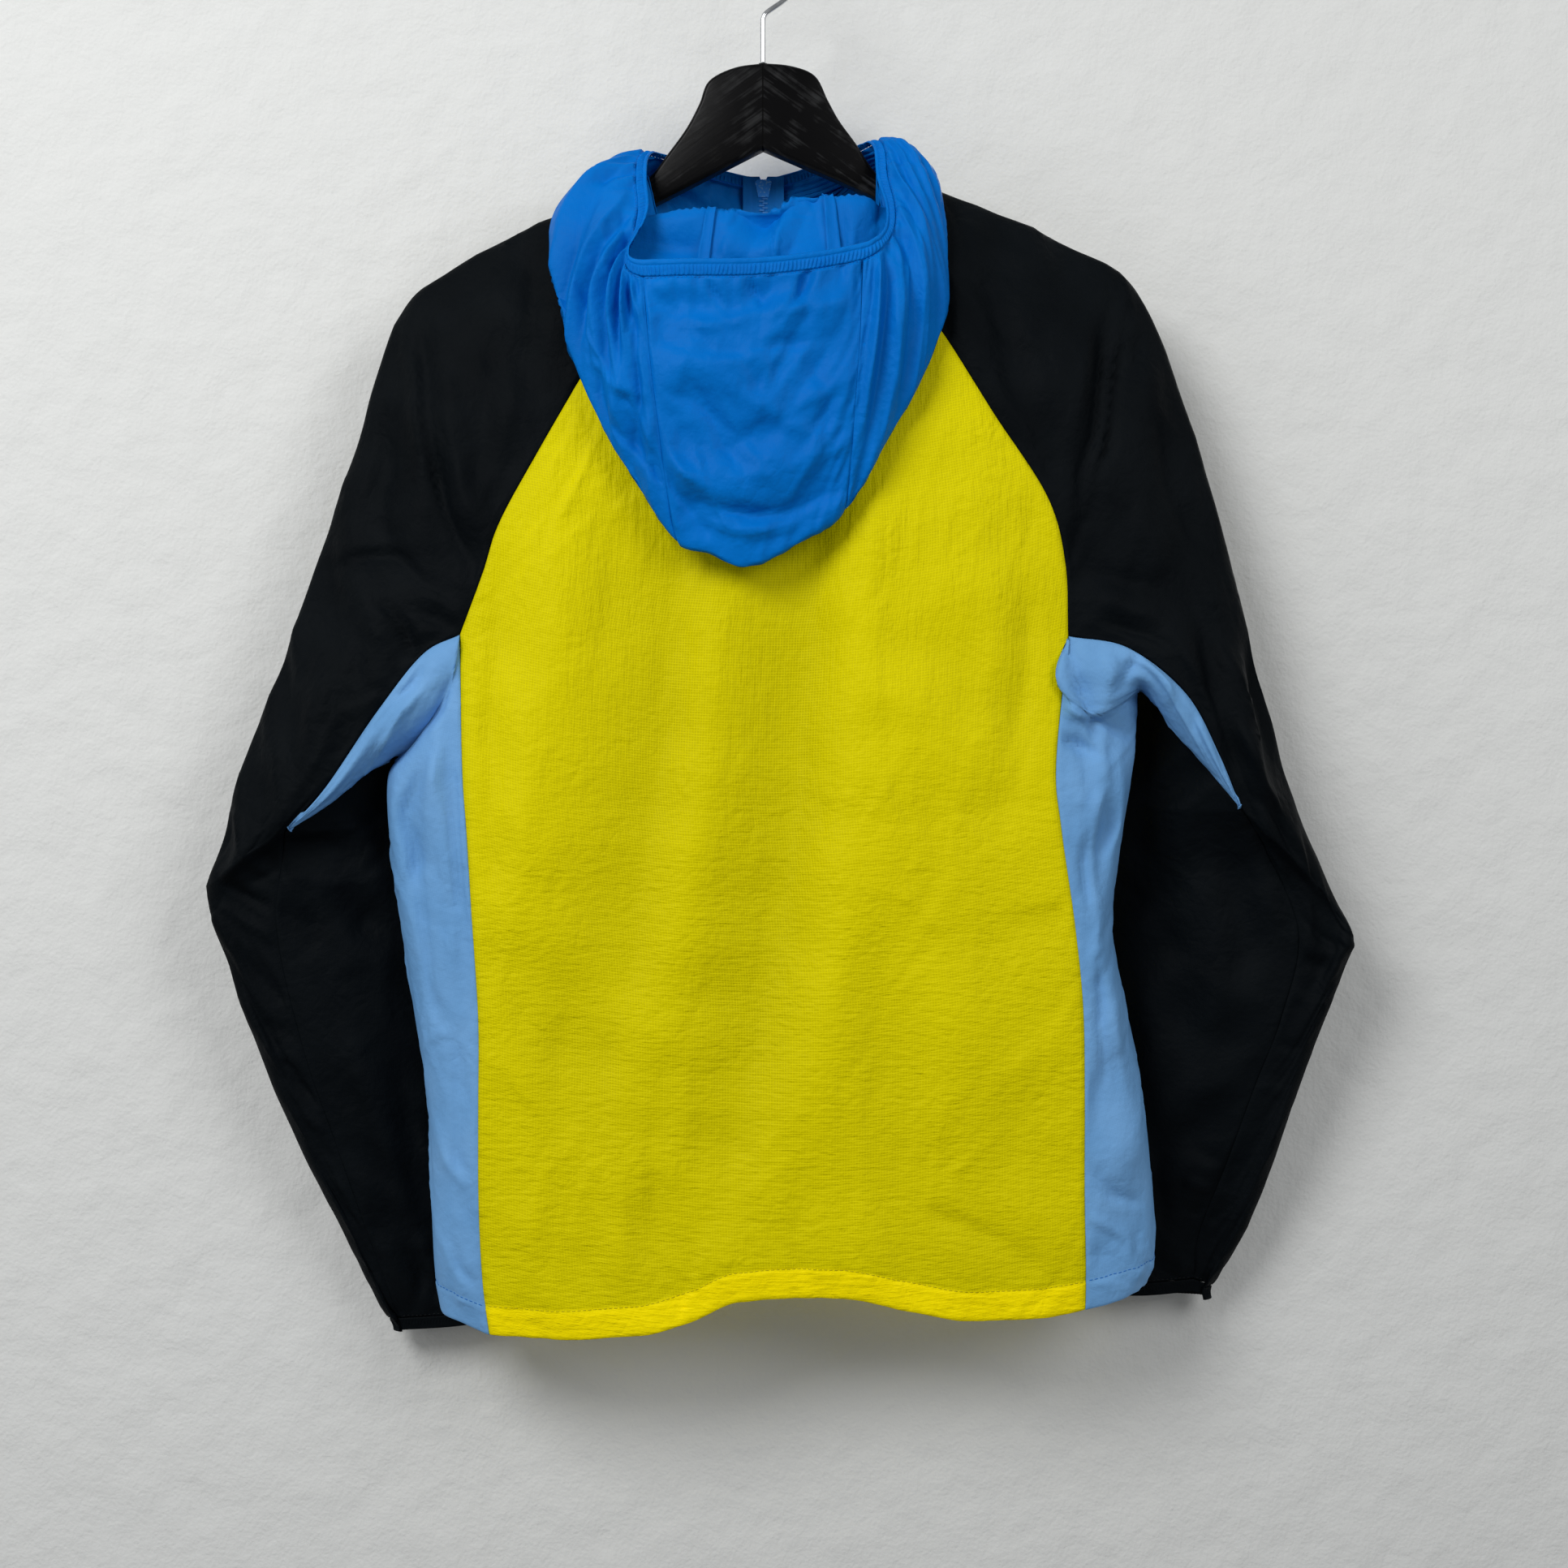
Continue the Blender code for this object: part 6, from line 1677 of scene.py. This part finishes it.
def main():
    yellow = yellow_ripstop()
    black = woven("black woven polyester", "#04070A", "#0A0E11", 0.9, 0.62, 0.0, 8.0, 0.0010, 0.04)
    light_blue = woven("light blue woven polyester", "#5D90C4", "#6C9ED2", 0.9, 0.55, 0.0, 9.0,
                       0.0009, 0.08)
    blue = woven("blue woven polyester", "#005EB2", "#0068C0", 0.9, 0.5, 0.0, 9.0, 0.0009, 0.05)
    tape_blue = woven("blue zip tape", "#0A62B8", "#1B74C8", 1.2, 0.7, 0.0, 6.0, 0.0002, 0.1)
    cloths = {"back": back_panel()}
    back = cloth_object("back_cloth", cloths["back"], yellow)
    declare("back_panel")
    for side in ("left", "right"):
        sleeve_name = "sleeve_cloth_" + side
        tape_piece = cloth_object("zip_tape_cloth_" + side, tape(side), tape_blue, 0.9)
        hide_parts("zip_tape_" + side)
        cloths["front_" + side] = front_panel(side)
        made = cloth_object("front_cloth_" + side, cloths["front_" + side], yellow)
        declare("front_" + side)
        cloths["side_" + side] = side_panel(side)
        made = cloth_object("side_cloth_" + side, cloths["side_" + side], light_blue)
        declare("side_" + side)
        band = cloth_object("cuff_band_" + side, cuff(side), black, 1.2, ring=True)
        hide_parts("cuff_" + side)
        cloths["sleeve_" + side] = sleeve(side)
        made = cloth_object(sleeve_name, cloths["sleeve_" + side], black)
        declare("sleeve_" + side)
    band = cloth_object("brim_band", brim(), blue, 1.0)
    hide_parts("hood_brim")
    inside = [neck_facing(blue)] + seam_strips(blue)
    for name, first, last in (("left", 0, HOOD_SEAM), ("centre", HOOD_SEAM, HOOD_LAST - HOOD_SEAM),
                              ("right", HOOD_LAST - HOOD_SEAM, HOOD_LAST)):
        cloths["hood_" + name] = hood_part(first, last)
        made = cloth_object("hood_cloth_" + name, cloths["hood_" + name], blue)
        declare("hood_" + name)
    yellow_thread = sewing_thread("yellow sewing thread", "#9C9300", "#CFC200")
    blue_thread = sewing_thread("blue sewing thread", "#004F9C", "#1B76CC")
    black_thread = sewing_thread("black sewing thread", "#07090B", "#15191C")
    fronts = [cloths["front_left"], cloths["front_right"]]
    stitches("hem_stitches", [line_beside(cloth, "bottom", HEM_CASING)
                              for cloth in [cloths["back"]] + fronts], HEM_STITCH, 0.55,
             yellow_thread)
    stitches("front_edge_stitches", [line_beside(cloth, "right", 6.0) for cloth in fronts], 3.0,
             0.5, yellow_thread)
    stitches("side_hem_stitches", [line_beside(cloths["side_" + side], "top", HEM_CASING)
                                   for side in ("left", "right")], HEM_STITCH, 0.55, blue_thread)
    stitches("brim_stitches", [line_beside(cloths["hood_" + name], "right", 1.0)
                               for name in ("left", "centre", "right")], 2.6, 0.5, blue_thread)
    stitches("cuff_stitches", [line_beside(cloths["sleeve_" + side], "bottom", 1.2)
                               for side in ("left", "right")], 2.8, 0.5, black_thread)
    teeth(moulded_teeth())
    hook(chrome_wire())
    lacquer = hanger_lacquer()
    for side in ("left", "right"):
        hanger_half(side, lacquer)
    paint = painted_metal()
    for name in ("zip_slider", "zip_pull"):
        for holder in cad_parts[name].material_slots:
            holder.material = paint
    stage_and_light(painted_wall())
    camera()


main()
